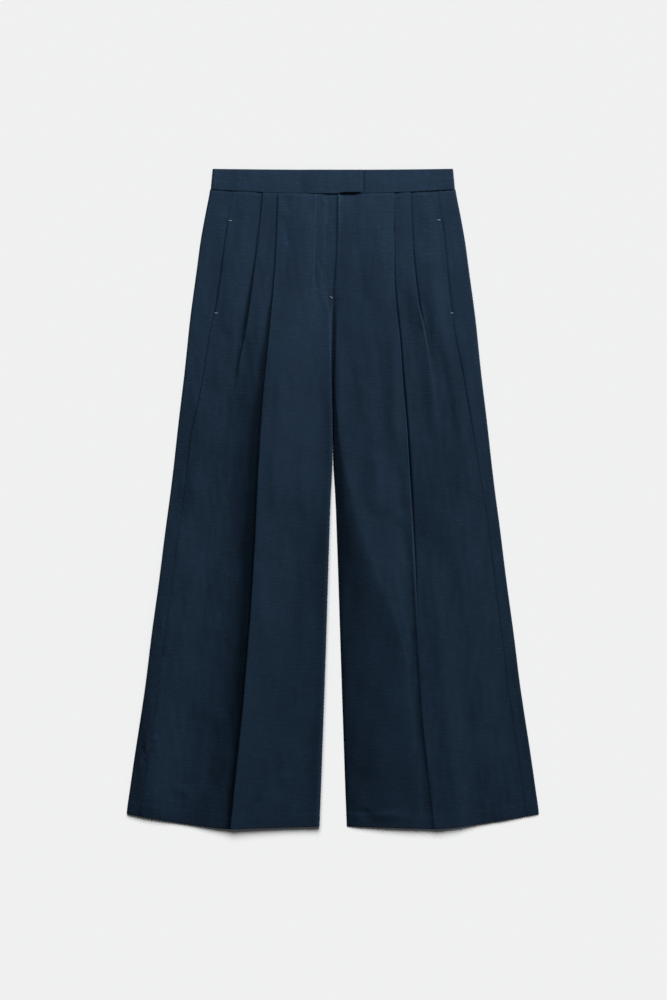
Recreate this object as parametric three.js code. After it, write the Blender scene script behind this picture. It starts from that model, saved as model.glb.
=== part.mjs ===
// Pleated wide-leg trousers, laid flat with the front up.
// Millimetres, +Z up, waist towards +Y. The origin is on the surface they lie on, under the garment's middle.
//
// Every piece is a wall of cloth. Its cross-sections are paths of [out, height] points, where "out" is the
// distance from the centre line, and each path is given the thickness of the cloth and lofted from one "down"
// (the distance below the waist edge) to the next. Right and left are the wearer's: with the front up, the
// right leg lies at -X.
import * as THREE from "three";

// ---- Driving dimensions ----
const LENGTH = 1054; // waist edge to hem, along the crease
const HALF_WAIST = 192; // centre line to side fold, at the waist edge
const BAND_AT_SIDE = 31.5; // height of the waistband at the side folds
const BAND_AT_CENTRE = 39.5; // height of the waistband at the centre front
const BAND_DIP = 1.5; // how far the waist edge dips at the centre
const HEM_RISE_AT_SIDE = 24; // how much shorter the leg is at its side fold than at its crease
const HEM_RISE_AT_INSEAM = 4; // and at its inseam
const HEM_CURVE = 1.35; // power of the hem's curve from the crease to the side fold
const HEM_TURN_UP = 30; // cloth turned up inside the hem

const CLOTH = 1.1; // one layer of cloth
const POCKETING = 1.0; // one layer of a pocket bag
const BAND = 2.4; // the waistband, which is folded double
const SEAM_GAP = 0.3; // clearance between two pieces that meet
const PLEAT_PITCH = CLOTH + 0.5; // from one layer of a pleat to the next
const OPEN_FOLD_RADIUS = 3; // extra radius of a fold that has opened out
const EDGE_ROUND = 1.4; // how far a folded edge takes to reach its full thickness
const SEAM_STRIP = 4; // level strip along each side of a side seam
const FOLD_STEPS = 3; // straight stretches in one turn of a pleat
const ROLL_STEPS = 4; // straight stretches round a side fold, a pocket bag's fold or the front's inner roll
const CLEAR_OF_FOLD = 2; // level cloth in front of a fold's edge

const TOP = 36; // "down" of the waist seam, between its heights at side and centre
const FLY_END = 207; // "down" of the bottom of the fly
const BELOW_FLY = 219; // "down" where the two fronts stop lapping and meet edge to edge
const CROTCH = 335; // "down" of the crotch
const UNDERLAP = 25; // how far the left front and band run under the right ones
const TAB_END = 47.5; // how far the tab of the right band runs past the centre
const TAB_LIFT = 2; // how much shorter the tab is than the band it covers
const BAND_CLIMB = 25; // width over which the right band climbs over the end of the left one
const BAND_DIVE = 19; // width over which the left band dives under the tab
const POCKET_CLEARANCE = 1; // from the edge of a pocket bag to the side seam

// Heights of the middle of a wall above the surface
const UNDERLAP_LAYER = 3.2;
const FLY_LAYER = 4.75;
const BAND_FLOOR = BAND / 2;
const BAND_FRONT = 4.7;
const BAND_UNDERLAP = BAND * 1.5 + SEAM_GAP;
const BAND_TAB = BAND * 2.5 + 2 * SEAM_GAP;

// ---- Tables, a row for each section ----
// side: centre line to side fold. gap: half the space between the legs. front: height of the front's wall.
// swell: how far the front stands up between its side seam and its outer pleat.
const OUTLINE = [
  { down: 0, side: 192, gap: 0, front: 3.6, swell: 0 },
  { down: 36, side: 195, gap: 0, front: 3.6, swell: 0.2 },
  { down: 60, side: 200, gap: 0, front: 4.6, swell: 1.2 },
  { down: 120, side: 211.5, gap: 0, front: 4.6, swell: 2 },
  { down: 185, side: 220, gap: 0, front: 4.6, swell: 2.2 },
  { down: 249, side: 228, gap: 0, front: 4.6, swell: 2.2 },
  { down: 345, side: 238.5, gap: 0, front: 4.6, swell: 2.2 },
  { down: 441, side: 249.5, gap: 0, front: 3.4, swell: 2.6 },
  { down: 537, side: 261, gap: 5, front: 3.2, swell: 3 },
  { down: 633, side: 273, gap: 9.5, front: 3.2, swell: 3.2 },
  { down: 729, side: 285.5, gap: 12.5, front: 3.2, swell: 3.2 },
  { down: 825, side: 297, gap: 14.5, front: 3.2, swell: 3.2 },
  { down: 921, side: 310.5, gap: 17.5, front: 3.4, swell: 3 },
  { down: 1017, side: 324.5, gap: 21, front: 4, swell: 2 },
  { down: 1054, side: 330, gap: 23, front: 4, swell: 1.4 },
];
const SWELL_BETWEEN_FOLDS = 0.3; // part of the swell that is left between the outer pleat and the crease

// inset: side fold to side seam, on the front.
const SIDE_SEAM = {
  right: [
    { down: 0, inset: 35 },
    { down: 120, inset: 38 },
    { down: 215, inset: 38 },
    { down: 265, inset: 33 },
    { down: 360, inset: 28 },
    { down: 420, inset: 21 },
    { down: 1054, inset: 18 },
  ],
  left: [
    { down: 0, inset: 25 },
    { down: 135, inset: 33 },
    { down: 206, inset: 35 },
    { down: 270, inset: 34 },
    { down: 320, inset: 28 },
    { down: 420, inset: 23 },
    { down: 545, inset: 17 },
    { down: 1054, inset: 18 },
  ],
};

// A fold's edge faces the side seam and stands at "out". turn: how far the cloth turns over there, in
// degrees, 180 where it is folded flat and 6 where it has died away. lap: cloth between the fold's two turns.
// lift: how far the cloth has risen by the fold's foot.
const OUTER_PLEAT = {
  right: [
    { down: 0, out: 109, turn: 180, lap: 12, lift: 0 },
    { down: 60, out: 113, turn: 180, lap: 12, lift: 0.8 },
    { down: 130, out: 121, turn: 180, lap: 11, lift: 1.6 },
    { down: 185, out: 128, turn: 170, lap: 8, lift: 2 },
    { down: 222, out: 133, turn: 140, lap: 4, lift: 2.2 },
    { down: 260, out: 139, turn: 90, lap: 2, lift: 2.2 },
    { down: 290, out: 145, turn: 40, lap: 2, lift: 1.8 },
    { down: 335, out: 154, turn: 12, lap: 3, lift: 1.2 },
    { down: 415, out: 165, turn: 6, lap: 4, lift: 0.6 },
    { down: 1054, out: 245, turn: 6, lap: 4, lift: 0 },
  ],
  left: [
    { down: 0, out: 123, turn: 180, lap: 12, lift: 0 },
    { down: 60, out: 124, turn: 180, lap: 12, lift: 0.8 },
    { down: 130, out: 127, turn: 180, lap: 11, lift: 1.6 },
    { down: 171, out: 131, turn: 172, lap: 9, lift: 1.8 },
    { down: 220, out: 137, turn: 135, lap: 4, lift: 2 },
    { down: 255, out: 145, turn: 80, lap: 2, lift: 1.8 },
    { down: 290, out: 151, turn: 35, lap: 2, lift: 1.4 },
    { down: 335, out: 158, turn: 12, lap: 3, lift: 1 },
    { down: 415, out: 168, turn: 6, lap: 4, lift: 0.6 },
    { down: 1054, out: 245, turn: 6, lap: 4, lift: 0 },
  ],
};

// The inner pleat, which runs on down the leg as its pressed crease.
const CREASE = {
  right: [
    { down: 0, out: 86, turn: 180, lap: 20, lift: 0 },
    { down: 60, out: 87.5, turn: 180, lap: 20, lift: 0.6 },
    { down: 146, out: 91, turn: 180, lap: 17, lift: 2 },
    { down: 200, out: 95.5, turn: 180, lap: 13, lift: 3 },
    { down: 250, out: 100, turn: 160, lap: 6, lift: 4.2 },
    { down: 300, out: 105, turn: 130, lap: 3, lift: 5.4 },
    { down: 360, out: 111, turn: 110, lap: 2, lift: 6.4 },
    { down: 415, out: 115, turn: 100, lap: 1.5, lift: 6.8 },
    { down: 500, out: 120.5, turn: 95, lap: 1.5, lift: 7 },
    { down: 600, out: 125, turn: 95, lap: 1.5, lift: 7.2 },
    { down: 700, out: 131, turn: 95, lap: 1.5, lift: 7.2 },
    { down: 780, out: 137.5, turn: 90, lap: 1.5, lift: 7 },
    { down: 860, out: 144, turn: 80, lap: 1.2, lift: 6.6 },
    { down: 940, out: 152.5, turn: 70, lap: 1, lift: 6 },
    { down: 1054, out: 164, turn: 60, lap: 1, lift: 5 },
  ],
  left: [
    { down: 0, out: 99.5, turn: 180, lap: 20, lift: 0 },
    { down: 60, out: 97, turn: 180, lap: 20, lift: 0.6 },
    { down: 171, out: 96.5, turn: 180, lap: 16, lift: 2 },
    { down: 217, out: 100, turn: 176, lap: 11, lift: 2.4 },
    { down: 255, out: 104.5, turn: 155, lap: 5, lift: 2.4 },
    { down: 300, out: 108.5, turn: 120, lap: 2.5, lift: 2.2 },
    { down: 350, out: 112.5, turn: 95, lap: 1.5, lift: 2 },
    { down: 415, out: 118, turn: 85, lap: 1.2, lift: 1.8 },
    { down: 510, out: 124, turn: 80, lap: 1.2, lift: 1.8 },
    { down: 620, out: 129.5, turn: 80, lap: 1.2, lift: 1.8 },
    { down: 745, out: 135, turn: 80, lap: 1.2, lift: 1.8 },
    { down: 826, out: 140, turn: 80, lap: 1.2, lift: 1.8 },
    { down: 907, out: 146.5, turn: 75, lap: 1.2, lift: 1.6 },
    { down: 975, out: 154.5, turn: 70, lap: 1, lift: 1.4 },
    { down: 1054, out: 164, turn: 60, lap: 1, lift: 1.2 },
  ],
};

// The front's inner edge: past is how far it runs beyond its half of the gap, lip the flat strip along it,
// and roll the width over which it climbs from the lip to the rest of the front. edge is the lip's height,
// and where that is lower than the back allows, the lip lies on the back. crown: how far the cloth has climbed
// above the front's height at the end of the roll. belly: how far it stands up between there and the crease,
// and below nought it sags.
const INNER_EDGE = {
  right: [
    { down: 0, past: 9.3, edge: FLY_LAYER, lip: 20, roll: 20, crown: 0, belly: 0 },
    { down: 130, past: 6.7, edge: FLY_LAYER, lip: 20, roll: 20, crown: 1, belly: 1 },
    { down: FLY_END, past: 0.8, edge: FLY_LAYER, lip: 20, roll: 20, crown: 1.6, belly: 1 },
    { down: BELOW_FLY, past: 0, edge: FLY_LAYER, lip: 3, roll: 12, crown: 2, belly: 0.5 },
    { down: CROTCH, past: 0, edge: 3, lip: 1, roll: 9, crown: 3, belly: -1 },
    { down: 375, past: 0, edge: 0, lip: 1, roll: 9, crown: 3.4, belly: -1.4 },
    { down: 590, past: 0, edge: 0, lip: 1, roll: 8, crown: 4, belly: -2 },
    { down: 1054, past: 0, edge: 0, lip: 1, roll: 8, crown: 3, belly: -1.4 },
  ],
  left: [
    { down: 0, past: UNDERLAP, edge: UNDERLAP_LAYER, lip: UNDERLAP + 14, roll: 16, crown: 0, belly: 0 },
    { down: 195, past: UNDERLAP, edge: UNDERLAP_LAYER, lip: UNDERLAP + 10, roll: 14, crown: 2, belly: 1 },
    { down: BELOW_FLY, past: 0, edge: UNDERLAP_LAYER, lip: 4, roll: 12, crown: 2, belly: 0.5 },
    { down: CROTCH, past: 0, edge: 3, lip: 1, roll: 10, crown: 3, belly: -0.5 },
    { down: 375, past: 0, edge: 0, lip: 1, roll: 12, crown: 4, belly: -0.5 },
    { down: 460, past: 0, edge: 0, lip: 1, roll: 17, crown: 5.8, belly: -0.5 },
    { down: 590, past: 0, edge: 0, lip: 1, roll: 28, crown: 7.5, belly: -0.5 },
    { down: 720, past: 0, edge: 0, lip: 1, roll: 58, crown: 8.5, belly: -0.4 },
    { down: 850, past: 0, edge: 0, lip: 1, roll: 80, crown: 8.5, belly: -0.4 },
    { down: 1000, past: 0, edge: 0, lip: 1, roll: 80, crown: 6.5, belly: -0.4 },
    { down: 1054, past: 0, edge: 0, lip: 1, roll: 76, crown: 5, belly: 0 },
  ],
};

// reach: how far a pocket bag runs in from the side seam.
const POCKET_BAG = [
  { down: 66, reach: 60 },
  { down: 100, reach: 112 },
  { down: 180, reach: 132 },
  { down: 260, reach: 136 },
  { down: 305, reach: 116 },
  { down: 330, reach: 76 },
];

const STATIONS = [
  TOP, 50, 66, 95, 130, 165, 195, FLY_END, BELOW_FLY, 245, 270, 300, CROTCH, 375, 415, 460, 520, 590, 670,
  750, 830, 910, 975, LENGTH - HEM_TURN_UP - 4, LENGTH - HEM_TURN_UP, LENGTH - EDGE_ROUND, LENGTH,
];

// ---- Looking up a table ----
/** A table's column at any distance down: straight between its rows, and level beyond them. */
function lookUp(rows, name, down) {
  const next = rows.findIndex((row) => row.down >= down);
  if (next === 0) return rows[0][name];
  if (next < 0) return rows[rows.length - 1][name];
  const [above, below] = [rows[next - 1], rows[next]];
  const share = (down - above.down) / (below.down - above.down);
  return THREE.MathUtils.lerp(above[name], below[name], share);
}

// ---- Where the garment's edges lie ----
/** Distance from the waist edge's level down to the waist seam: a parabola, lowest at the centre. */
function waistSeam(out) {
  return BAND_AT_CENTRE - (BAND_AT_CENTRE - BAND_AT_SIDE) * (out / HALF_WAIST) ** 2;
}

/** Distance down to the hem: longest at the crease, a power curve to the side and straight to the inseam. */
function hem(out) {
  const { out: crease } = CREASE.right.at(-1);
  const { side, gap } = OUTLINE.at(-1);
  if (out > crease) return LENGTH - HEM_RISE_AT_SIDE * ((out - crease) / (side - crease)) ** HEM_CURVE;
  return LENGTH - (HEM_RISE_AT_INSEAM * (crease - out)) / (crease - gap);
}

/** Y of a point on a leg's panel: shared out evenly between the waist seam and the hem above and below it. */
function panelY(out, down) {
  const share = (down - TOP) / (LENGTH - TOP);
  return -THREE.MathUtils.lerp(waistSeam(out) + SEAM_GAP / 2, hem(out), share);
}

// ---- Cross-sections, as paths of [out, height] points ----
/**
 * A fold that lifts the cloth from a lower to a higher layer, walking towards the centre: an arc that turns
 * up by "turn", a straight stretch "lap" long, and an arc that turns level again. Its edge stands at "out".
 */
function foldPath({ out, turn, lap }, height) {
  const angle = THREE.MathUtils.degToRad(turn);
  const radius = PLEAT_PITCH / 2 + OPEN_FOLD_RADIUS * (1 - turn / 180);
  const upper = out - radius * Math.sin(Math.min(angle, Math.PI / 2));
  let x = upper + 2 * radius * Math.sin(angle) + lap * Math.cos(angle);
  let z = height;
  const path = [];
  for (let i = 0; i <= FOLD_STEPS; i++) {
    const part = (angle * i) / FOLD_STEPS;
    path.push([x - radius * Math.sin(part), z + radius * (1 - Math.cos(part))]);
  }
  x -= radius * Math.sin(angle) + lap * Math.cos(angle);
  z += radius * (1 - Math.cos(angle)) + lap * Math.sin(angle);
  for (let i = 0; i <= FOLD_STEPS; i++) {
    const part = angle * (1 - i / FOLD_STEPS);
    path.push([
      x - radius * (Math.sin(angle) - Math.sin(part)),
      z + radius * (Math.cos(part) - Math.cos(angle)),
    ]);
  }
  return path;
}

/** The fold of a table at a distance down. */
function foldAt(rows, down) {
  const columns = ["out", "turn", "lap", "lift"];
  return Object.fromEntries(columns.map((name) => [name, lookUp(rows, name, down)]));
}

/** The front: from the side seam in over the outer pleat and the crease to its inner edge. */
function frontPath(leg, down) {
  const level = lookUp(OUTLINE, "front", down);
  const seam = lookUp(OUTLINE, "side", down) - lookUp(SIDE_SEAM[leg], "inset", down) - SEAM_GAP / 2;
  const path = [[seam, level], [seam - SEAM_STRIP, level]];
  let swell = lookUp(OUTLINE, "swell", down);
  for (const rows of [OUTER_PLEAT[leg], CREASE[leg]]) {
    const fold = foldAt(rows, down);
    const height = level + fold.lift;
    const folded = foldPath(fold, height);
    const foot = Math.max(folded[0][0], fold.out) + CLEAR_OF_FOLD;
    const innermost = Math.min(...folded.map(([out]) => out));
    path.push(between(path.at(-1), [foot, height], 0.5, swell), [foot, height], ...folded);
    path.push([innermost - CLOTH, folded.at(-1)[1]]);
    swell *= SWELL_BETWEEN_FOLDS;
  }
  return path.concat(innerHalf(leg, down, path.at(-1)));
}

/** A point between two others that stands "rise" above the straight line. */
function between(from, to, share, rise) {
  const [out, height] = [0, 1].map((axis) => THREE.MathUtils.lerp(from[axis], to[axis], share));
  return [out, height + rise];
}

/** The front between its crease and its inner edge. It rolls down to that edge by a quarter of an ellipse. */
function innerHalf(leg, down, crease) {
  const rows = INNER_EDGE[leg];
  const edge = Math.max(lookUp(rows, "edge", down), 1.5 * foldedThickness(down) + SEAM_GAP);
  const end = lookUp(OUTLINE, "gap", down) + SEAM_GAP / 2 - lookUp(rows, "past", down);
  const lipEnd = end + lookUp(rows, "lip", down);
  const shoulder = lipEnd + lookUp(rows, "roll", down);
  const top = Math.max(lookUp(OUTLINE, "front", down), edge) + lookUp(rows, "crown", down);
  const rise = lookUp(rows, "belly", down) * Math.sin(Math.PI / 3);
  const path = [1 / 3, 2 / 3].map((share) => between(crease, [shoulder, top], share, rise));
  for (let i = 0; i < ROLL_STEPS; i++) {
    const angle = (Math.PI / 2) * (i / ROLL_STEPS);
    path.push([
      THREE.MathUtils.lerp(shoulder, lipEnd, Math.sin(angle)),
      THREE.MathUtils.lerp(edge, top, Math.cos(angle)),
    ]);
  }
  return path.concat([[lipEnd, edge], [end, edge]]);
}

/** A path round a side fold: out along the surface to the fold, and back in on top to "returnTo". */
function roundTheSide({ start, side, lower, upper, thickness, returnTo }) {
  const radius = (upper - lower) / 2;
  const centre = side - thickness / 2 - radius;
  const path = [[start, lower], [THREE.MathUtils.lerp(start, centre, 0.5), lower]];
  for (let i = 0; i <= ROLL_STEPS; i++) {
    const angle = (Math.PI * i) / ROLL_STEPS;
    path.push([centre + radius * Math.sin(angle), (lower + upper) / 2 - radius * Math.cos(angle)]);
  }
  path.push([returnTo + SEAM_STRIP, upper], [returnTo, upper]);
  return path;
}

/** The back: flat on the surface from its inner edge, round the side fold and in to the side seam. */
function backPath(leg, down) {
  const side = lookUp(OUTLINE, "side", down);
  return roundTheSide({
    start: lookUp(OUTLINE, "gap", down) + SEAM_GAP / 2,
    side,
    lower: foldedThickness(down) / 2,
    upper: lookUp(OUTLINE, "front", down),
    thickness: foldedThickness(down),
    returnTo: side - lookUp(SIDE_SEAM[leg], "inset", down) + SEAM_GAP / 2,
  });
}

/** A pocket bag: in from the side seam, round the fold at its inner edge and back out on top. */
function pocketPath(leg, down) {
  const seam = lookUp(OUTLINE, "side", down) - lookUp(SIDE_SEAM[leg], "inset", down) - POCKET_CLEARANCE;
  const lower = CLOTH + SEAM_GAP + POCKETING / 2;
  const radius = (POCKETING + SEAM_GAP) / 2;
  const fold = seam - lookUp(POCKET_BAG, "reach", down);
  const path = [[seam, lower]];
  for (let i = 0; i <= ROLL_STEPS; i++) {
    const angle = (Math.PI * i) / ROLL_STEPS;
    path.push([fold - radius * Math.sin(angle), lower + radius * (1 - Math.cos(angle))]);
  }
  path.push([seam, lower + 2 * radius]);
  return path.reverse();
}

/** A half of the waistband: from the centre back round the side fold to the centre front and past it. */
function bandPath(leg, side) {
  const plain = { start: SEAM_GAP / 2, side, lower: BAND_FLOOR, upper: BAND_FRONT, thickness: BAND };
  const clearOfEnd = 5;
  if (leg === "right") {
    const climbed = UNDERLAP + clearOfEnd;
    const path = roundTheSide({ ...plain, returnTo: climbed + BAND_CLIMB });
    return path.concat([[climbed, BAND_TAB], [0, BAND_TAB], [-TAB_END, BAND_TAB]]);
  }
  const dived = TAB_END + clearOfEnd;
  const path = roundTheSide({ ...plain, returnTo: dived + BAND_DIVE });
  return path.concat([[dived, BAND_UNDERLAP], [0, BAND_UNDERLAP], [-UNDERLAP, BAND_UNDERLAP]]);
}

// ---- From cross-sections to a closed solid ----
/** Points half a thickness to one side of a path, mitred at its corners. */
function offsetPath(path, distance) {
  const heading = (from, to) => new THREE.Vector2(to[0] - from[0], to[1] - from[1]).normalize();
  return path.map((point, i) => {
    const before = heading(path[Math.max(i - 1, 0)], path[Math.max(i, 1)]);
    const after = heading(path[Math.min(i, path.length - 2)], path[Math.min(i + 1, path.length - 1)]);
    const along = before.clone().add(after).normalize();
    const mitre = distance / along.dot(after);
    return [point[0] + along.y * mitre, point[1] - along.x * mitre];
  });
}

/**
 * A closed wall lofted through sections. Each section has a path, a thickness and yAt(out), and the sections
 * run from the waist down. Each is a ring: the path's outer face, then its inner face on the way back.
 */
function loft(sections, mirror) {
  const count = sections[0].path.length;
  const size = 2 * count;
  const positions = [];
  for (const { path, thickness, yAt } of sections) {
    const ring = [...offsetPath(path, thickness / 2), ...offsetPath(path, -thickness / 2).reverse()];
    for (const [out, height] of ring) positions.push(mirror * out, yAt(out), height);
  }
  const index = [];
  const quad = (a, b, c, d) => index.push(...(mirror > 0 ? [a, b, d, b, c, d] : [a, d, b, b, d, c]));
  const last = (sections.length - 1) * size;
  for (let ring = 0; ring < last; ring += size) {
    for (let i = 0; i < size; i++) {
      const next = (i + 1) % size;
      quad(ring + i, ring + next, ring + size + next, ring + size + i);
    }
  }
  for (let i = 0; i < count - 1; i++) {
    const [outer, inner] = [i, size - 1 - i];
    quad(inner, inner - 1, outer + 1, outer);
    quad(last + outer, last + outer + 1, last + inner - 1, last + inner);
  }
  const geometry = new THREE.BufferGeometry();
  geometry.setAttribute("position", new THREE.Float32BufferAttribute(positions, 3));
  geometry.setIndex(index);
  geometry.computeVertexNormals();
  return geometry;
}

// ---- Pieces ----
/** Thickness of a leg's cloth: double where the hem is turned up. */
function foldedThickness(down) {
  return down >= LENGTH - HEM_TURN_UP ? 2 * CLOTH : CLOTH;
}

/** A front or back leg panel, from its path at each station, rounded off at the hem's fold. */
function legPanel(leg, pathAt) {
  const sections = STATIONS.map((down) => ({
    path: pathAt(leg, down),
    thickness: down < LENGTH ? foldedThickness(down) : CLOTH,
    yAt: (out) => panelY(out, down),
  }));
  return loft(sections, mirrorOf(leg));
}

function pocketBag(leg) {
  const sections = POCKET_BAG.map(({ down }) => ({
    path: pocketPath(leg, down),
    thickness: POCKETING,
    yAt: (out) => panelY(out, down),
  }));
  return loft(sections, mirrorOf(leg));
}

/** A half of the waistband, thinner at its folded top and bottom edges. */
function waistband(leg) {
  const levels = [
    { share: 0, inset: 0, thickness: BAND / 2 },
    { share: 0, inset: EDGE_ROUND, thickness: BAND },
    { share: 1, inset: -EDGE_ROUND, thickness: BAND },
    { share: 1, inset: 0, thickness: BAND / 2 },
  ];
  const sections = levels.map(({ share, inset, thickness }) => ({
    path: bandPath(leg, THREE.MathUtils.lerp(HALF_WAIST, OUTLINE[1].side, share)),
    thickness,
    yAt: (out) => {
      const top = BAND_DIP * (1 - (out / HALF_WAIST) ** 2);
      const tab = leg === "right" ? TAB_LIFT * THREE.MathUtils.smoothstep(-out, 8, 16) : 0;
      const bottom = waistSeam(out) - SEAM_GAP / 2 - tab;
      return -(THREE.MathUtils.lerp(top, bottom, share) + inset);
    },
  }));
  return loft(sections, mirrorOf(leg));
}

function mirrorOf(leg) {
  return leg === "right" ? -1 : 1;
}

// ---- The scene graph ----
const navyLinen = { color: 0x1b2937, roughness: 0.9, metalness: 0 };
const navyPocketing = { color: 0x242c38, roughness: 0.85, metalness: 0 };

function piece(name, geometry, finish) {
  const mesh = new THREE.Mesh(geometry, new THREE.MeshStandardMaterial(finish));
  mesh.name = name;
  return mesh;
}

const trousers = new THREE.Group();
trousers.position.y = LENGTH / 2;
for (const leg of ["right", "left"]) {
  trousers.add(piece(`front_${leg}`, legPanel(leg, frontPath), navyLinen));
  trousers.add(piece(`back_${leg}`, legPanel(leg, backPath), navyLinen));
  trousers.add(piece(`waistband_${leg}`, waistband(leg), navyLinen));
  trousers.add(piece(`pocket_bag_${leg}`, pocketBag(leg), navyPocketing));
}

export default trousers;
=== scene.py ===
"""Pleated wide-leg trousers in navy linen, laid flat with the front up.

Sizes are in millimetres and are turned to metres as a mesh is made. "Out" is the distance from the centre
line and "down" the distance below the waist edge. Right and left are the wearer's: the right leg lies at -X.
Every piece of cloth is a wall, worked out on a grid whose rows run across the garment and whose columns run
down it.
"""

import bmesh
import bpy
import numpy as np
from bpy.props import FloatProperty, FloatVectorProperty, PointerProperty
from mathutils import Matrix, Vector
from mathutils.bvhtree import BVHTree


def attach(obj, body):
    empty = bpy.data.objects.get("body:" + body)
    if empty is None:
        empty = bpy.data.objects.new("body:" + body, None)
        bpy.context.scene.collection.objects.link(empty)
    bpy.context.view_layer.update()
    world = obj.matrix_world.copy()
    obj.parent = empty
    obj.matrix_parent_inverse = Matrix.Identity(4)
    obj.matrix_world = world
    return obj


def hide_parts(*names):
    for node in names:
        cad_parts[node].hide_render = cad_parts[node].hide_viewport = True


bl_info = {
    "name": "Pleated Trousers",
    "version": (1, 0, 0),
    "blender": (4, 5, 0),
    "location": "View3D > Sidebar > Trousers",
    "description": "Builds pleated wide-leg linen trousers over their packed model",
    "category": "Object",
}

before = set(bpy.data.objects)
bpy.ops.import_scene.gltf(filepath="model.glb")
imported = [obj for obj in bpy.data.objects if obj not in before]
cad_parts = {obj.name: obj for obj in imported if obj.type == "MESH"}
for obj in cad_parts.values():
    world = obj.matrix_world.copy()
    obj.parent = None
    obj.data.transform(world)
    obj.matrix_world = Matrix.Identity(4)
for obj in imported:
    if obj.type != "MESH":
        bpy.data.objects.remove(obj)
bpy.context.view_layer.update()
MM = 0.001

# ---- Driving dimensions ----
# The outline
LENGTH = 1054  # waist edge to hem, along the crease
HALF_WAIST = 192  # centre line to side fold, at the waist edge
TOP = 36  # "down" of the waist seam, between its heights at side and centre
HEM_RISE_AT_SIDE = 24  # how much shorter the leg is at its side fold than at its crease
HEM_RISE_AT_INSEAM = 4  # and at its inseam
HEM_CURVE = 1.35  # power of the hem's curve from the crease to the side fold
SIDE_WAVER = 0.5  # how far the side fold wavers
SIDE_WAVES = (47, 71)  # lengths of its two waves, each over two pi
CROTCH = 335  # "down" of the crotch
LEGS_PART = 80  # how far below the crotch the two legs begin to part
LEGS_PART_REACH = 40  # and how far down they take to

# Cloth and clearances
CLOTH = 0.5  # one layer of cloth
POCKETING = 0.6  # one layer of a pocket bag
BAND = 1.3  # the waistband, which is folded double
SEAM_GAP = 0.3  # clearance between two pieces that lie on each other
SEWN_GAP = 0.03  # and between two that are sewn edge to edge
EDGE_ROUND = 1.4  # how far the edge of a leg takes to reach its full thickness
BAND_ROUND = 1.1  # and the long edges of the waistband
BAND_END_ROUND = 1.2  # and its ends
ROUND_STOP = 0.985  # share of such an edge's round that is drawn
BAND_END_SLIVER = 0.02  # how far from its very end its last section is taken to be

# Folds and rolled edges
PLEAT_PITCH = CLOTH + 0.15  # from one layer of a pleat to the next
OPEN_FOLD_RADIUS = 1.3  # extra radius of a fold that has opened out
CLEAR_OF_FOLD = 2  # flat cloth beside a fold
TUCK_START = 0.3  # from the end of a fold to the first of the flat cloth behind it
DIP_WIDTH = 2.2  # half the width of the furrow along a fold's foot
DIP_OFFSET = 0.88  # from the fold's edge out to the furrow's middle
SLUMP_REACH = 8  # how far behind a crease the cloth takes to sink
ROLL_EASE = 0.5  # how far a roll down to an inner edge leans from a quarter ellipse to a quarter sine

# Side seams and pockets
SEAM_STRIP = 4  # level strip of the front along its side seam
SIDE_GROOVE = 1.4  # half the width of the valley along a side seam
SIDE_GROOVE_DEPTH = 0.1
SIDE_LEDGE = 0.6  # how far the front steps up or down there
LEDGE_WIDTH = 0.8  # half the width of such a step
LEDGE_REACH = 14  # how far the cloth takes to sink away from it
LEDGE_BELOW = 0.3  # how much higher a side seam's ledge is below the pocket's opening
LEDGE_BELOW_REACH = 20  # how far down it takes to grow there
SEAM_FLATTENS = 360  # "down" where it begins to flatten
SEAM_FLATTENS_REACH = 160  # and how far down it takes to
PUCKER = 11  # from one pucker of a side seam to the next
PUCKER_HEIGHT = 0.14
PUCKER_WIDTH = 7  # to each side of the seam
PUCKER_SLANT = 0.9  # how far along the seam a pucker leans for each millimetre across it
PUCKER_FADE = 31  # length over which the puckers grow and fade, over two pi
POCKET_OPENING = (78, 238)  # "down" of its two ends
OPENING_DEPTH = 0.5  # how much deeper the valley and higher the ledge are along it
OPENING_ENDS = (8, 10)  # how far down they take to deepen at its top and to flatten at its foot
POCKET_CLEARANCE = 1  # from the edge of a pocket bag to the side seam
POCKET_FLOOR = 1.1  # height of the underside of a pocket bag

# Centre and fly
UNDERLAP = 25  # how far the left front and band run under the right ones
FLY_END = 207  # "down" of the bottom of the fly
FLY_LEDGE = 1.3  # how far the right front stands over the left one at the fly
FLY_LEDGE_END = 16  # how far down that takes to fade at the bottom of the fly
CENTRE_GROOVE = 2  # half the width of the valley from the fly to the crotch
CENTRE_GROOVE_DEPTH = 1.4
CENTRE_GROOVE_ENDS = (20, 60)  # how far down it takes to deepen at the fly and to fade past the crotch

# Hem
HEM_TURN_UP = 22  # cloth turned up inside the hem
HEM_STEP = 4  # how far the cloth takes to double in thickness there
HEM_PRINT = 0.14  # depth of the turn-up's print
HEM_PRINT_WIDTH = 2.2  # half its width
HEM_PRINT_CHANGE = 0.12  # how much deeper and shallower it goes along the hem
HEM_PRINT_WAVE = 19  # and the length of that wave, over two pi

# Waistband and its tab
BAND_AT_SIDE = 33.2  # height of the waistband at the side folds
BAND_AT_CENTRE = 40  # height of the waistband at the centre front
BAND_DIP = 1.5  # how far the waist edge dips at the centre
BAND_TILT = 1  # how much further the band stands up at its seam than at its edge
BAND_SWELL = 0.3  # and how much further in the middle of its height
BAND_CLIMB = 25  # width over which the right band climbs over the end of the left one
BAND_CLIMB_FOOT = 5  # from that end to the top of the climb
BAND_DIVE = 4  # width over which the left band dives under the tab
BAND_DIVE_FOOT = 1.5  # from the tab's end to the foot of the dive
BAND_STEP_SPACE = 0.5  # from the last point of the level band to the first of its climb or dive
WAIST_GROOVE = 1.6  # half the width of the valley along the waist seam
WAIST_GROOVE_DEPTH = 0.5
TAB_END = 47.5  # how far the tab of the right band runs past the centre
TAB_LIFT = 2  # how much shorter the tab is than the band it covers
TAB_STEP = 8  # how far past the centre it begins to shorten, and how far it takes to
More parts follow.
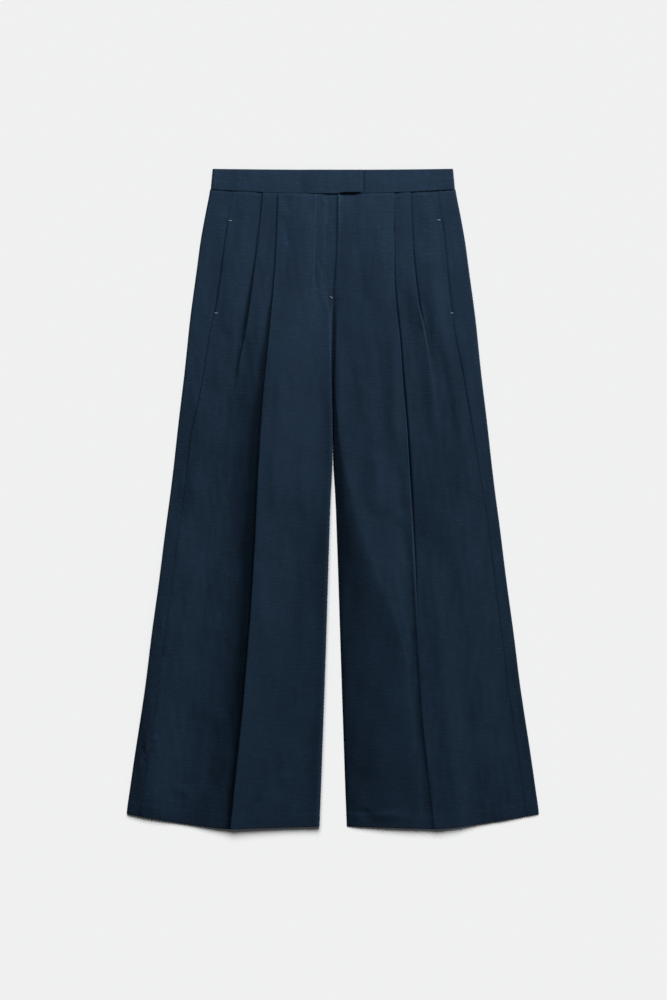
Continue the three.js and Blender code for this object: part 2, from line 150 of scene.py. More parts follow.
TAB_SAG = 3.6  # how far the front sinks below the tab
TAB_SAG_REACH = 26  # and how far down it takes to rise again
TAB_SAG_SIDES = (5, 18)  # how far it takes to deepen from the fly and to fade by the tab's end

# Heights of the middle of a wall above the surface
UNDERLAP_LAYER = 4.5
FLY_LAYER = 5.4
BAND_FLOOR = BAND / 2
BAND_FRONT = 4.9
BAND_UNDERLAP = 4
BAND_TAB = 6.4

LEGS = {"right": -1, "left": 1}  # which way "out" runs along X


def table(columns, *rows):
    """A table as a dictionary of its named columns."""
    return dict(zip(columns.split(), np.array(rows, float).T))


# ---- Tables of the cut and the layers, a row for each section ----
# side: centre line to side fold. gap: half the space between the legs. front: height of the front's wall.
# swell: how far the front stands up between its side seam and its outer pleat.
OUTLINE = table(
    "down side gap front swell",
    (0, 192, 0, 5.2, 0),
    (36, 195, 0, 5.2, 0),
    (60, 200, 0, 5.0, 1.2),
    (120, 211.5, 0, 4.6, 2),
    (249, 228, 0, 4.6, 1.6),
    (345, 238.5, 0, 4.6, 1),
    (441, 249.5, 0, 3.8, 0.6),
    (463, 252.1, 0, 3.6, 0.4),
    (537, 261, 4.6, 3.4, 0.4),
    (633, 273, 8, 3.4, 0.4),
    (729, 285.5, 11, 3.4, 0.4),
    (825, 297, 14.1, 3.4, 0.4),
    (921, 310.5, 17.3, 3.4, 0.4),
    (1017, 324.5, 20.6, 4, 0.4),
    (1054, 330, 22.4, 4, 0.4),
)

# inset: side fold to side seam, on the front.
SIDE_SEAM = {
    "right": table(
        "down inset",
        (0, 35), (120, 38), (215, 38), (265, 33), (360, 28), (420, 21), (1054, 18),
    ),
    "left": table(
        "down inset",
        (0, 25), (135, 33), (206, 35), (270, 34), (320, 28), (420, 23), (545, 17), (1054, 18),
    ),
}

# A fold's edge faces the side seam and stands at "out". turn: how far the cloth turns over there, in
# degrees. lap: cloth between the fold's two turns. lift: how far the cloth has risen by the fold's foot, and
# reach: how far out from there the climb dies away. dip: depth of the furrow along the foot.
OUTER_PLEAT = {
    "right": table(
        "down out turn lap lift reach dip",
        (0, 109, 180, 12, 0, 12, 0),
        (60, 113, 180, 12, -1.6, 34, 0.1),
        (130, 121, 180, 11, -1.5, 34, 0.2),
        (185, 128, 172, 6, -1.2, 26, 0.8),
        (222, 133, 140, 1.6, -0.2, 14, 1.2),
        (260, 139, 90, 1.6, 1, 14, 0.9),
        (290, 145, 40, 1.4, 1, 16, 0.4),
        (335, 154, 8, 2, 0.6, 20, 0),
        (415, 165, 2, 2, 0, 20, 0),
        (1054, 245, 2, 2, 0, 20, 0),
    ),
    "left": table(
        "down out turn lap lift reach dip",
        (0, 123, 180, 12, 0, 12, 0),
        (60, 124, 180, 12, 0.2, 12, 0.8),
        (130, 127, 180, 11, 0.3, 14, 1.2),
        (171, 131, 174, 7, 0.3, 14, 1.4),
        (220, 137, 120, 1.2, 0.3, 14, 1.4),
        (255, 145, 50, 1.2, 0.2, 14, 1),
        (290, 151, 20, 1.4, 0.2, 14, 0.4),
        (335, 158, 8, 2, 0, 14, 0),
        (415, 168, 2, 2, 0, 14, 0),
        (1054, 245, 2, 2, 0, 14, 0),
    ),
}

# The inner pleat, which runs on down the leg as its pressed crease. slump: how far the cloth sinks behind it.
CREASE = {
    "right": table(
        "down out turn lap lift reach dip slump",
        (0, 86, 180, 20, 0, 10, 0, 0),
        (60, 87.5, 180, 20, 0, 12, 0.4, 0),
        (146, 91, 180, 17, 1.4, 22, 0.6, 0),
        (200, 95.5, 180, 13, 3, 28, 0.8, 0),
        (250, 100, 165, 7, 4.8, 36, 1, 0),
        (300, 105, 150, 4, 5.2, 36, 1, 0),
        (360, 111, 130, 3.8, 4.4, 30, 1, 0),
        (415, 115, 110, 4.6, 3.4, 24, 1, 0),
        (480, 119, 100, 4.8, 3.2, 20, 1.2, 0),
        (540, 122, 105, 4.2, 4.2, 16, 1.6, 0),
        (590, 124, 110, 3, 5.8, 14, 2, 0),
        (700, 130.5, 110, 2, 7.4, 12, 2, 0),
        (780, 137, 110, 1.8, 7.6, 16, 2, 0),
        (860, 143.5, 105, 1.6, 8.4, 26, 1.6, 0),
        (940, 152, 95, 1.4, 9, 42, 1.2, 0),
        (1054, 164, 80, 1, 7, 46, 0.8, 0),
    ),
    "left": table(
        "down out turn lap lift reach dip slump",
        (0, 99.5, 180, 20, 0, 10, 0, 0),
        (60, 97, 180, 20, 0.4, 10, 0.5, 0),
        (171, 96.5, 180, 16, 1.4, 12, 1.8, 0),
        (217, 100, 176, 11, 1.6, 12, 2.4, 0),
        (255, 104.5, 165, 7, 1.6, 12, 2.4, 0),
        (300, 108.5, 150, 3, 1.4, 12, 2.4, 0),
        (350, 112.5, 130, 2, 1, 12, 2.4, 0),
        (415, 118, 115, 1.6, 0.8, 12, 2.4, 0),
        (510, 123.6, 110, 1.6, -0.8, 16, 2.8, 0),
        (580, 127, 80, 1, -0.2, 24, 2.8, 0.5),
        (640, 130, 30, 0.6, 3.8, 60, 1.8, 3),
        (720, 133.6, 6, 0.4, 8.4, 110, 0, 3.4),
        (826, 140, 4, 0.4, 9.4, 120, 0, 3.2),
        (907, 146.5, 4, 0.4, 9.8, 120, 0, 3.2),
        (975, 154.5, 4, 0.4, 8.6, 120, 0, 2.8),
        (1054, 164, 4, 0.4, 7, 120, 0, 2.2),
    ),
}

# The front's inner edge: past is how far it runs beyond its half of the gap, edge the height of the flat
# strip along it, lip the strip's width, and roll the width over which it climbs to the rest of the front.
# crown: how far it has climbed there. belly: how far the cloth stands up between there and the crease, and
# below nought it sags. curl: how far the cloth next to the roll turns up.
INNER_EDGE = {
    "right": table(
        "down past edge lip roll crown belly curl",
        (0, 9.3, FLY_LAYER, 20, 20, 0.4, 0, 0),
        (60, 8, FLY_LAYER, 20, 20, 0.8, 0.8, 0),
        (130, 6.7, FLY_LAYER, 18, 18, 1.2, 1.4, 0),
        (FLY_END, 0.8, FLY_LAYER, 10, 16, 1.4, 2, 0),
        (222, 0, 4.6, 3, 8, 1.4, 2, 0.6),
        (CROTCH, 0, 3, 1, 1.2, 2.2, 1.2, 4),
        (375, 0, 0, 0.6, 0.8, 3, 0.8, 5.4),
        (440, 0, 0, 0.4, 0.6, 4.6, 0.2, 6.4),
        (520, 0.6, 0, 0.4, 0.5, 6.4, -1.4, 3.6),
        (620, 1.2, 0, 0.4, 0.5, 7.5, -3.6, 1.2),
        (760, 1.4, 0, 0.4, 0.5, 8, -4, 0),
        (900, 1.2, 0, 0.4, 0.6, 8, -3, 0),
        (1054, 1, 0, 0.4, 0.6, 6.5, -2, 0),
    ),
    "left": table(
        "down past edge lip roll crown belly curl",
        (0, UNDERLAP, UNDERLAP_LAYER, UNDERLAP + 2, 10, 0.8, 0, 0),
        (200, UNDERLAP, UNDERLAP_LAYER, UNDERLAP + 2, 10, 1.4, 1.6, 0),
        (FLY_END + 12, 0, UNDERLAP_LAYER, 3, 6, 1.4, 1.2, 0),
        (CROTCH, 0, 3, 1, 3, 3.6, 1, 0),
        (375, 0, 0, 1, 4.5, 4.4, 1, 0),
        (415, 0, 0, 1, 10, 5.4, 1, 0),
        (460, 0, 0, 1, 16, 7, 0.6, 0),
        (530, 0, 0, 1, 28, 8.8, 0, 0),
        (593, 0, 0, 1, 42, 9.8, 0, 0),
        (660, 0, 0, 1, 62, 9.2, 0, 0),
        (720, 0, 0, 1, 88, 8.6, 0, 0),
        (785, 0, 0, 1, 102, 8.8, 0, 0),
        (900, 0, 0, 1, 106, 8.2, 0, 0),
        (1000, 0, 0, 1, 110, 7.2, 0, 0),
        (1054, 0, 0, 1, 112, 5.6, 0, 0),
    ),
}

# reach: how far a pocket bag runs in from the side seam.
POCKET_BAG = table("down reach", (66, 60), (100, 112), (180, 132), (260, 136), (305, 116), (330, 76))

# ---- Tables of the creases that are laid on one by one ----
# Each runs from (out, down) to (to_out, to_down), bowed sideways by "bow" at its middle. Its section is a
# bell "width" wide to each side and "height" high, and below nought it is a trough.
FOLD_COLUMNS = "out down to_out to_down bow width height"
FOLDS = {
    "right": table(
        FOLD_COLUMNS,
        (168, 60, 176, 240, 0, 13, 0.8),
        (148, 110, 152, 230, 0, 12, -0.4),
        (74, 42, 72, 72, 0, 6, -0.8),
        (77, 74, 70, 124, 2, 5, -0.6),
        (40, 60, 50, 200, 0, 14, 0.9),
        (26, 141, 9, 163, 2, 3, -0.4),
        (24, 150, 10, 172, 2, 3, -0.35),
        (23, 46, 6, 60, 0, 3, 0.5),
        (145, 270, 150, 335, 0, 4, 1.1),
        (204, 340, 226, 560, 4, 17, 2.2),
        (168, 250, 176, 330, 0, 8, -1),
        (84, 320, 88, 420, 0, 8, 0.8),
        (96, 440, 92, 560, 0, 7, 0.8),
        (46, 420, 50, 560, 0, 8, 0.8),
        (60, 560, 62, 760, 0, 10, -0.8),
        (264, 540, 296, 1100, 0, 36, 3.6),
        (278, 670, 306, 1090, 0, 25, 2),
        (238, 520, 262, 800, 0, 24, 1.4),
        (114, 630, 116, 740, 0, 8, 1),
        (124, 1012, 66, 962, -4, 7, 1.4),
        (92, 930, 84, 1010, 0, 8, -0.8),
        (190, 870, 196, 1005, 0, 13, -1),
        (276, 905, 302, 930, 5, 4, 1.4),
        (284, 928, 306, 952, 4, 3, -0.8),
        (222, 600, 236, 860, 0, 18, 1.2),
        (104, 240, 124, 680, 0, 44, 2.8),
        (66, 230, 70, 560, 0, 28, 1.6),
        (222, 1000, 262, 985, 0, 9, 1),
    ),
    "left": table(
        FOLD_COLUMNS,
        (72, 60, 84, 250, 4, 16, 1.4),
        (40, 90, 46, 230, 0, 12, -1),
        (163, 70, 172, 170, 0, 10, 0.3),
        (146, 70, 149, 150, 0, 7, -0.8),
        (106, 120, 112, 300, 0, 8, 0.8),
        (160, 170, 168, 330, 0, 13, 0.9),
        (142, 215, 146, 262, 0, 4, 0.9),
        (194, 230, 216, 560, 0, 28, 1.8),
        (164, 260, 196, 460, 4, 9, -1.4),
        (150, 290, 164, 440, 0, 9, 1.3),
        (96, 230, 100, 460, 0, 9, 1.8),
        (70, 250, 78, 450, 0, 9, -1),
        (10, 270, 9, 420, 0, 6, 1.2),
        (40, 290, 52, 420, 0, 9, 0.8),
        (66, 440, 70, 560, 0, 13, 1.8),
        (104, 470, 110, 560, 0, 8, -1.2),
        (74, 560, 118, 790, 4, 16, 0.5),
        (108, 560, 120, 640, 0, 8, -1),
        (84, 665, 121, 820, 3, 5, 0.3),
        (168, 430, 242, 1064, 0, 44, 4.6),
        (60, 1034, 112, 1030, 0, 7, 1.6),
        (44, 1020, 60, 1040, 0, 7, -1),
        (60, 860, 72, 980, 0, 16, 0.8),
    ),
}

# The back's own creases, which lift it off the surface: its pressed crease and the folds of lying flat. They
# keep clear of the side fold, and of the centre and the hem.
BACK_CLEAR_SIDE = 30
BACK_CLEAR_END = 40
BACK_FADE = 20
BACK_FADE_HEM = 30
BACK_FOLDS = table(
    FOLD_COLUMNS,
    (112, 360, 164, 1050, 0, 3, 0.8),
    (60, 400, 84, 620, 6, 9, 0.6),
    (180, 420, 196, 700, 5, 11, 0.6),
    (70, 700, 60, 960, 4, 10, 0.5),
    (214, 690, 252, 980, 6, 12, 0.6),
    (150, 380, 190, 430, 0, 6, 0.4),
)

# Unevenness all over the cloth: waves of three lengths, each pointing its own way.
RUMPLE = table("length height count", (120, 0.26, 7), (46, 0.09, 11), (17, 0.03, 19))
RUMPLE_SEED = 7
RUMPLE_DRAW = 0.45  # how many waves run down a stretch of the leg for each that runs across it
RUMPLE_FREE = 22  # how far from an inner edge the cloth takes to rumple freely
RUMPLE_HEM = (10, 60)  # from the hem to where it would stop, and how far up it takes to be free
# The waistband's unevenness: its share of the rumple, how much finer it is, and how far it is shifted.
CRUMPLES = ((0.4, 1.7, 400), (0.3, 3, 0))

# ---- Stitching ----
FLY_STITCH_OUT = 27  # the fly's line of stitching, from the centre line, at the waist
FLY_STITCH_SPREAD = 4  # how much further out it runs by its turn
FLY_STITCH_TURN = 176  # "down" where it turns in
FLY_STITCH_FOOT = (9, 200)  # out and down of its end
FLY_STITCH_START = 6  # from the waist seam to its first stitch
FLY_LINE_POINTS = (60, 40)  # points that its straight and its turn are measured along
LOOK_FROM = 0.1  # metres above the surface from which a stitch looks down for its cloth
STITCH = 2.4  # length of a stitch
STITCH_SPACE = 3.1  # from one stitch to the next
STITCH_RISE = 0.12  # height of a stitch's middle above the cloth
THREAD = 0.45  # thickness of the thread
STRAND_RINGS = 7
STRAND_SIDES = 8
STRAND_END = 0.02  # what is left of the square of a strand's breadth at its two ends
TACK_LENGTH = 4.4  # the length that a bar tack's turns of thread share out
TACK_WIDTH = 1.7  # length of each turn
TACK_RISE = 0.3  # height of a bar tack's middle above the cloth
TACK_THREAD = 0.9  # thickness of a turn of its thread
TACK_THREADS = 9  # turns of thread that show along a bar tack
POCKET_TACKS = {"right": ((164, 83), (186.2, 230.6)), "left": ((169.4, 82), (190.2, 230.6))}
FLY_TACK = (2.5, 205.5)
FLY_TACK_TILT = 35  # degrees

# ---- How finely each piece is drawn: rows down it, and points along each stretch of a section ----
FRONT_ROWS = 310
BACK_ROWS = 300
BAND_ROWS = 26
POCKET_ROWS = 60
ARC_STEPS = 6
TOP_STRIP = 0.5  # from the first section to the next
LAP_POINTS = 3
STRIP_POINTS = 3
CLIMB_POINTS = 26
FOOT_POINTS = 2
TUCK_POINTS = 7
PANEL_POINTS = 22
ROLL_POINTS = 16
LIP_POINTS = 8
BACK_POINTS = (70, 12, 13)  # below, round the side fold and above
BAND_POINTS = (60, 10, 60)
BAND_STEP_POINTS = 12
BAND_PAST_POINTS = 40
POCKET_POINTS = 24
POCKET_TURN_POINTS = 9
FOLD_POINTS = 2 * (ARC_STEPS + 1) + LAP_POINTS
# The column of a front's grid that runs down its crease, and the one that runs down the middle of a back's.
CREASE_COLUMN = STRIP_POINTS + 2 * (CLIMB_POINTS + FOOT_POINTS) + FOLD_POINTS + TUCK_POINTS + ARC_STEPS + 1
BACK_COLUMN = BACK_POINTS[0] // 2
SHARP_ANGLE = 60  # degrees between two faces past which their edge is shaded sharp


# ---- Settings that a user would change ----
def linear(hex_colour):
    """An sRGB hex colour as linear red, green and blue."""
    srgb = np.array([int(hex_colour[i : i + 2], 16) for i in (1, 3, 5)]) / 255
    return tuple(np.where(srgb <= 0.04045, srgb / 12.92, ((srgb + 0.055) / 1.055) ** 2.4))


class TrousersSettings(bpy.types.PropertyGroup):
    """Sizes and colours of the trousers."""

    cloth: FloatProperty(
        name="Cloth", description="Thickness of one layer of cloth", subtype="DISTANCE", default=CLOTH * MM,
        min=0.0005,
    )
    crease_depth: FloatProperty(
        name="Crease depth", description="How strongly the hand-laid creases stand", default=1, min=0, max=2
    )
    rumple: FloatProperty(
        name="Rumple", description="Unevenness all over the cloth", default=1, min=0, max=2
    )
    linen: FloatVectorProperty(
        name="Linen", description="Colour of the dyed yarn", subtype="COLOR", default=linear("#172b3d")
    )
    linen_deep: FloatVectorProperty(
        name="Deep linen", description="Colour between the yarns", subtype="COLOR", default=linear("#0d1b2a")
    )
    linen_slub: FloatVectorProperty(
        name="Slub", description="Colour of the thick places in the yarn", subtype="COLOR",
        default=linear("#364f66"),
    )
    pocketing: FloatVectorProperty(
        name="Pocketing", description="Colour of the pocket bags", subtype="COLOR", default=linear("#242c38")
    )
    thread: FloatVectorProperty(
        name="Thread", description="Colour of the fly's stitching", subtype="COLOR", default=linear("#34485c")
    )
    tack_thread: FloatVectorProperty(
        name="Tack thread", description="Colour of the bar tacks", subtype="COLOR", default=linear("#62748a")
    )
    floor: FloatVectorProperty(
        name="Floor", description="Colour of the floor", subtype="COLOR", default=linear("#ececec")
    )


# ---- Looking up a table ----
CORNER = 18  # how far to each side of a table's rows its corners are rounded
LOOKS = 9


def look_up(rows, name, down):
    """
    A table's column at any distances down: straight between its rows, with the corners rounded by taking the
    mean of some looks around each place.
    """
    looks = down[..., None] + np.linspace(-CORNER, CORNER, LOOKS)
    return np.interp(looks, rows["down"], rows[name]).mean(-1)


def smooth(share):
    """An even step from 0 to 1 with level ends: three squares less two cubes."""
    share = np.clip(share, 0, 1)
    return share * share * (3 - 2 * share)


def blend(start, end, share):
    """From start to end, evenly with the share."""
    return start + (end - start) * share


# ---- Where the garment's edges lie ----
def waist_seam(out):
    """Down to the waist seam: a parabola, lowest at the centre."""
    return BAND_AT_CENTRE - (BAND_AT_CENTRE - BAND_AT_SIDE) * (out / HALF_WAIST) ** 2


def hem(out):
    """Down to the hem: longest at the crease, a power curve to the side and straight to the inseam."""
    crease = CREASE["right"]["out"][-1]
    side, gap = OUTLINE["side"][-1], OUTLINE["gap"][-1]
    to_side = LENGTH - HEM_RISE_AT_SIDE * np.clip((out - crease) / (side - crease), 0, None) ** HEM_CURVE
    to_inseam = LENGTH - HEM_RISE_AT_INSEAM * (crease - out) / (crease - gap)
    return np.where(out > crease, to_side, to_inseam)


def panel_down(out, down):
    """True down of a point on a leg's panel: shared out evenly between the waist seam and the hem."""
    share = (down - TOP) / (LENGTH - TOP)
    return blend(waist_seam(out) + SEWN_GAP / 2, hem(out), share)


def side_fold(down):
    """Out to the side fold, with a slight waver along it: the product of two slow sine waves."""
    waver = SIDE_WAVER * np.sin(down / SIDE_WAVES[0]) * np.sin(down / SIDE_WAVES[1] + 1)
    return look_up(OUTLINE, "side", down) + waver


# ---- Relief: creases laid on by hand, and rumple ----
def fold_relief(folds, out, down):
    """
    Sum of a table's folds at each point. Each is a bell across a line that a parabola bows, faded out over a
    quarter of its length at each end.
    """
    total = np.zeros(np.broadcast(out, down).shape)
    for fold in zip(*(folds[name] for name in FOLD_COLUMNS.split())):
        start, end, (bow, width, height) = np.array(fold[:2]), np.array(fold[2:4]), fold[4:]
        length = np.hypot(*(end - start))
        heading = (end - start) / length
        walked = (out - start[0]) * heading[0] + (down - start[1]) * heading[1]
        share = np.clip(walked / length, 0, 1)
        aside = (out - start[0]) * heading[1] - (down - start[1]) * heading[0] - bow * 4 * share * (1 - share)
        bell = np.exp(-(aside**2 + (walked - share * length) ** 2) / width**2)
        total += height * bell * smooth(4 * share) * smooth(4 * (1 - share))
    return total


def rumple(x, down):
    """
    Gentle unevenness: for each row of the table, the sum of sine waves of about its length, each with its own
    heading, and all of them drawn out along the leg.
    """
    generator = np.random.default_rng(RUMPLE_SEED)
    total = np.zeros(np.broadcast(x, down).shape)
    least, most = (0, 0, 0.7), (np.pi, 2 * np.pi, 1.5)
    for length, height, count in zip(RUMPLE["length"], RUMPLE["height"], RUMPLE["count"]):
        for heading, phase, longer in generator.uniform(least, most, (int(count), 3)):
            wave = 2 * np.pi / (length * longer)
            walked = x * np.cos(heading) + RUMPLE_DRAW * down * np.sin(heading)
            total += height * np.sin(wave * walked + phase)
    return total


def front_relief(x, down):
    """
    Relief of the whole front at each point, so that layers that lie on each other move together: both legs'
    folds, and a rumple that dies away at the hem and at the legs' inner edges.
    """
    settings = bpy.context.scene.trousers
    folds = sum(fold_relief(FOLDS[leg], x * sign, down) for leg, sign in LEGS.items())
    inner = look_up(OUTLINE, "gap", down)
    past_hem, hem_reach = RUMPLE_HEM
    free = smooth((np.abs(x) - inner) / RUMPLE_FREE) * smooth((LENGTH + past_hem - down) / hem_reach)
    free = np.where(down < CROTCH, np.maximum(free, smooth((CROTCH - down) / hem_reach)), free)
    return settings.crease_depth * folds + settings.rumple * rumple(x, down) * free


def groove(distance, width, depth):
    """A narrow valley along a seam: a bell, width wide to each side."""
    return -depth * np.exp(-((distance / width) ** 2))


def ledge(distance, height):
    """A narrow step up along a line that dies away to each side: a hyperbolic tangent times an exponential."""
    return 0.5 * height * np.tanh(distance / LEDGE_WIDTH) * np.exp(-np.abs(distance) / LEDGE_REACH)


# ---- Sections across the garment: out and height of the middle of a wall, a row for each station ----
def stretch(start, end, count):
    """From start towards end, each an (out, height): straight in out, and a smooth step in height."""
    share = np.arange(count) / count
    return blend(start[0], end[0], share), blend(start[1], end[1], smooth(share))


def join(parts):
    """One section from parts that follow each other, each an (out, height). It has a row for each station."""
    rows = max(len(out) for out, _ in parts if np.ndim(out) == 2)
    spread = [[np.broadcast_to(values, (rows, np.shape(values)[-1])) for values in part] for part in parts]
    return np.hstack([out for out, _ in spread]), np.hstack([height for _, height in spread])


def fold_section(rows, down, height):
    """
    A fold that lifts the cloth to a higher layer, walking towards the centre: an arc that turns up by "turn",
    a straight stretch "lap" long, and an arc that turns level again. Its edge stands at "out".
    """
    out, turn, lap = (look_up(rows, name, down) for name in ("out", "turn", "lap"))
    angle = np.radians(turn)
    sine, cosine = np.sin(angle), np.cos(angle)
    radius = PLEAT_PITCH / 2 + OPEN_FOLD_RADIUS * (1 - turn / 180)
    start = out - radius * np.sin(np.minimum(angle, np.pi / 2)) + 2 * radius * sine + lap * cosine
    turned = angle * np.linspace(0, 1, ARC_STEPS + 1)
    share = np.linspace(0, 1, LAP_POINTS + 2)[1:-1]
    back = turned[:, ::-1]
    lap_start = start - radius * sine, height + radius * (1 - cosine)
    lap_end = lap_start[0] - lap * cosine, lap_start[1] + lap * sine
    return join((
        (start - radius * np.sin(turned), height + radius * (1 - np.cos(turned))),
        (blend(lap_start[0], lap_end[0], share), blend(lap_start[1], lap_end[1], share)),
        (lap_end[0] - radius * (sine - np.sin(back)), lap_end[1] + radius * (np.cos(back) - cosine)),
    ))


def front_section(leg, down):
    """
    The front: from the side seam in over the outer pleat and the crease to its inner edge. Each fold has a
    climb to its foot, with a furrow along it, and behind it the cloth is flat for a short way.
    """
    level = look_up(OUTLINE, "front", down)
    swell = look_up(OUTLINE, "swell", down)
    seam = side_fold(down) - look_up(SIDE_SEAM[leg], "inset", down) - SEWN_GAP / 2
    last = (seam - SEAM_STRIP, level)
    parts = [stretch((seam, level), last, STRIP_POINTS)]
    for rows in (OUTER_PLEAT[leg], CREASE[leg]):
        edge, lift, reach, dip = (look_up(rows, name, down) for name in ("out", "lift", "reach", "dip"))
        at_foot = level + lift
        fold = fold_section(rows, down, at_foot)
        foot = np.maximum(fold[0][:, :1], edge) + CLEAR_OF_FOLD
        climb = climbing(last, (foot, level), swell, lift, reach)
        step = stretch((foot, at_foot), (fold[0][:, :1], at_foot), FOOT_POINTS)
        for out, height in (climb, step):
            parts.append((out, height + groove(out - edge - DIP_OFFSET, DIP_WIDTH, dip)))
        last = (fold[0].min(1, keepdims=True) - CLOTH, fold[1][:, -1:])
        parts += [fold, stretch((fold[0][:, -1:] - TUCK_START, last[1]), last, TUCK_POINTS)]
        swell = 0
    return join(parts + inner_half(leg, down, last))


def climbing(start, foot, swell, lift, reach):
    """
    From start to a fold's foot: a smooth step in height, with a swell, which is a squared sine, and a climb,
    which grows as an exponential to "lift" at the foot. The points lie closer together towards it.
    """
    share = 1 - (1 - np.arange(CLIMB_POINTS) / CLIMB_POINTS) ** 1.5
    ways = (foot[0] - start[0]) * share
    level = blend(start[1], foot[1], smooth(share)) + swell * np.sin(np.pi * share) ** 2
    climb = lift * np.exp(-(start[0] + ways - foot[0]) / reach) * smooth(1.6 * share)
    return start[0] + ways, level + climb


def inner_half(leg, down, crease):
    """
    The front between its crease and its inner edge: a panel that sinks behind the crease as an exponential, is
    bent by a parabola and turns up as a sixth power, a roll down to the lip, part quarter ellipse and part
    quarter sine, and the lip.
    """
    past, edge, lip, roll, crown, belly, curl = (
        look_up(INNER_EDGE[leg], name, down) for name in "past edge lip roll crown belly curl".split()
    )
    # The edge can lie no lower than on the back: over all of the back's thickness and half of its own.
    edge = np.maximum(edge, 1.5 * folded_thickness(down) + SEAM_GAP)
    end = look_up(OUTLINE, "gap", down) + inner_clearance(down) / 2 - past
    lip_end = end + lip
    shoulder = lip_end + roll
    shoulder_height = np.maximum(look_up(OUTLINE, "front", down), edge) + crown
    share = np.arange(PANEL_POINTS) / PANEL_POINTS
    ways = blend(crease[0], shoulder, share)
    slump = look_up(CREASE[leg], "slump", down) * np.expm1((ways - crease[0]) / SLUMP_REACH) * (1 - share)
    bend = belly * 4 * share * (1 - share) + curl * share**6
    level = blend(crease[1], shoulder_height - curl, share)
    turn = np.linspace(0, np.pi / 2, ROLL_POINTS + 1)[:-1]
    fall = blend(np.cos(turn), np.cos(np.pi / 2 * np.sin(turn)), ROLL_EASE)
    closer = 1 - np.linspace(1, 0, LIP_POINTS) ** 2
    return [
        (ways, level + bend + slump),
        (blend(shoulder, lip_end, np.sin(turn)), blend(edge, shoulder_height, fall)),
        (blend(lip_end, end, closer), edge + 0 * closer),
    ]


def inner_clearance(down):
    """Space between the two legs' pieces: sewn shut to below the crotch, then opening."""
    return blend(SEWN_GAP, SEAM_GAP, smooth((down - CROTCH - LEGS_PART) / LEGS_PART_REACH))


def round_the_side(start, side, lower, upper, thickness, return_to, counts):
    """Out along the surface, a half circle round the side fold, and back in on top, with a count for each."""
    below_count, fold_count, above_count = counts
    radius = (upper - lower) / 2
    centre = side - thickness / 2 - radius
    turn = np.pi * np.arange(fold_count) / fold_count
    below = stretch((start, lower), (centre, lower), below_count)
    fold = centre + radius * np.sin(turn), (lower + upper) / 2 - radius * np.cos(turn)
    share = np.linspace(0, 1, above_count)
    above = blend(centre, return_to, share), upper + 0 * share
    return join((below, fold, above))


def back_section(leg, down):
    """The back: flat on the surface from its inner edge, round the side fold and in to the side seam."""
    side = side_fold(down)
    thickness = folded_thickness(down)
    upper = look_up(OUTLINE, "front", down)
    return_to = side - look_up(SIDE_SEAM[leg], "inset", down) + SEWN_GAP / 2
    start = look_up(OUTLINE, "gap", down) + inner_clearance(down) / 2
    return round_the_side(start, side, thickness / 2, upper, thickness, return_to, BACK_POINTS)


def pocket_section(leg, down):
    """A pocket bag: from the side seam on top, in to its folded inner edge and back out below."""
    seam = side_fold(down) - look_up(SIDE_SEAM[leg], "inset", down) - POCKET_CLEARANCE
    lower = POCKET_FLOOR + POCKETING / 2
    radius = (POCKETING + SEAM_GAP) / 2
    fold = seam - look_up(POCKET_BAG, "reach", down)
    turn = np.linspace(np.pi, 0, POCKET_TURN_POINTS)
    top = stretch((seam, lower + 2 * radius), (fold, lower + 2 * radius), POCKET_POINTS)
    edge = fold - radius * np.sin(turn), lower + radius * (1 - np.cos(turn))
    share = np.arange(1, POCKET_POINTS + 1) / POCKET_POINTS
    below = blend(fold, seam, share), lower + 0 * share
    return join((top, edge, below))


def band_section(leg, side):
    """
    A half of the waistband: from the centre back round the side fold to the centre front and past it. The
    right half climbs to the tab, and the left half dives to its underlap, each by a smooth step.
    """
    start = np.full_like(side, SEWN_GAP / 2)
    if leg == "right":
        landing, width, layer, end = UNDERLAP + BAND_CLIMB_FOOT, BAND_CLIMB, BAND_TAB, -TAB_END
    else:
        landing, width, layer, end = TAB_END + BAND_DIVE_FOOT, BAND_DIVE, BAND_UNDERLAP, -UNDERLAP
    plain = round_the_side(start, side, BAND_FLOOR, BAND_FRONT, BAND, landing + width, BAND_POINTS)
    step = stretch((landing + width - BAND_STEP_SPACE, BAND_FRONT), (landing, layer), BAND_STEP_POINTS)
    share = np.linspace(0, 1, BAND_PAST_POINTS)
    past = blend(landing, end, share), layer + 0 * share
    return join((plain, step, past))


# ---- From a grid to a closed wall of cloth ----
def folded_thickness(down):
    """Thickness of a leg's cloth, which doubles by a smooth step where the hem is turned up."""
    cloth = bpy.context.scene.trousers.cloth / MM
    return cloth * (1 + smooth((down - (LENGTH - HEM_TURN_UP - HEM_STEP / 2)) / HEM_STEP))


def rounded(distance, reach=EDGE_ROUND):
    """Share of the full thickness near an edge: a quarter ellipse, reach long, cut off before its end."""
    return np.sqrt(1 - np.clip(1 - distance / reach, 0, ROUND_STOP) ** 2)


def unit(vectors):
    """Vectors with a length of one: each divided by its length."""
    return vectors / np.linalg.norm(vectors, axis=-1, keepdims=True)


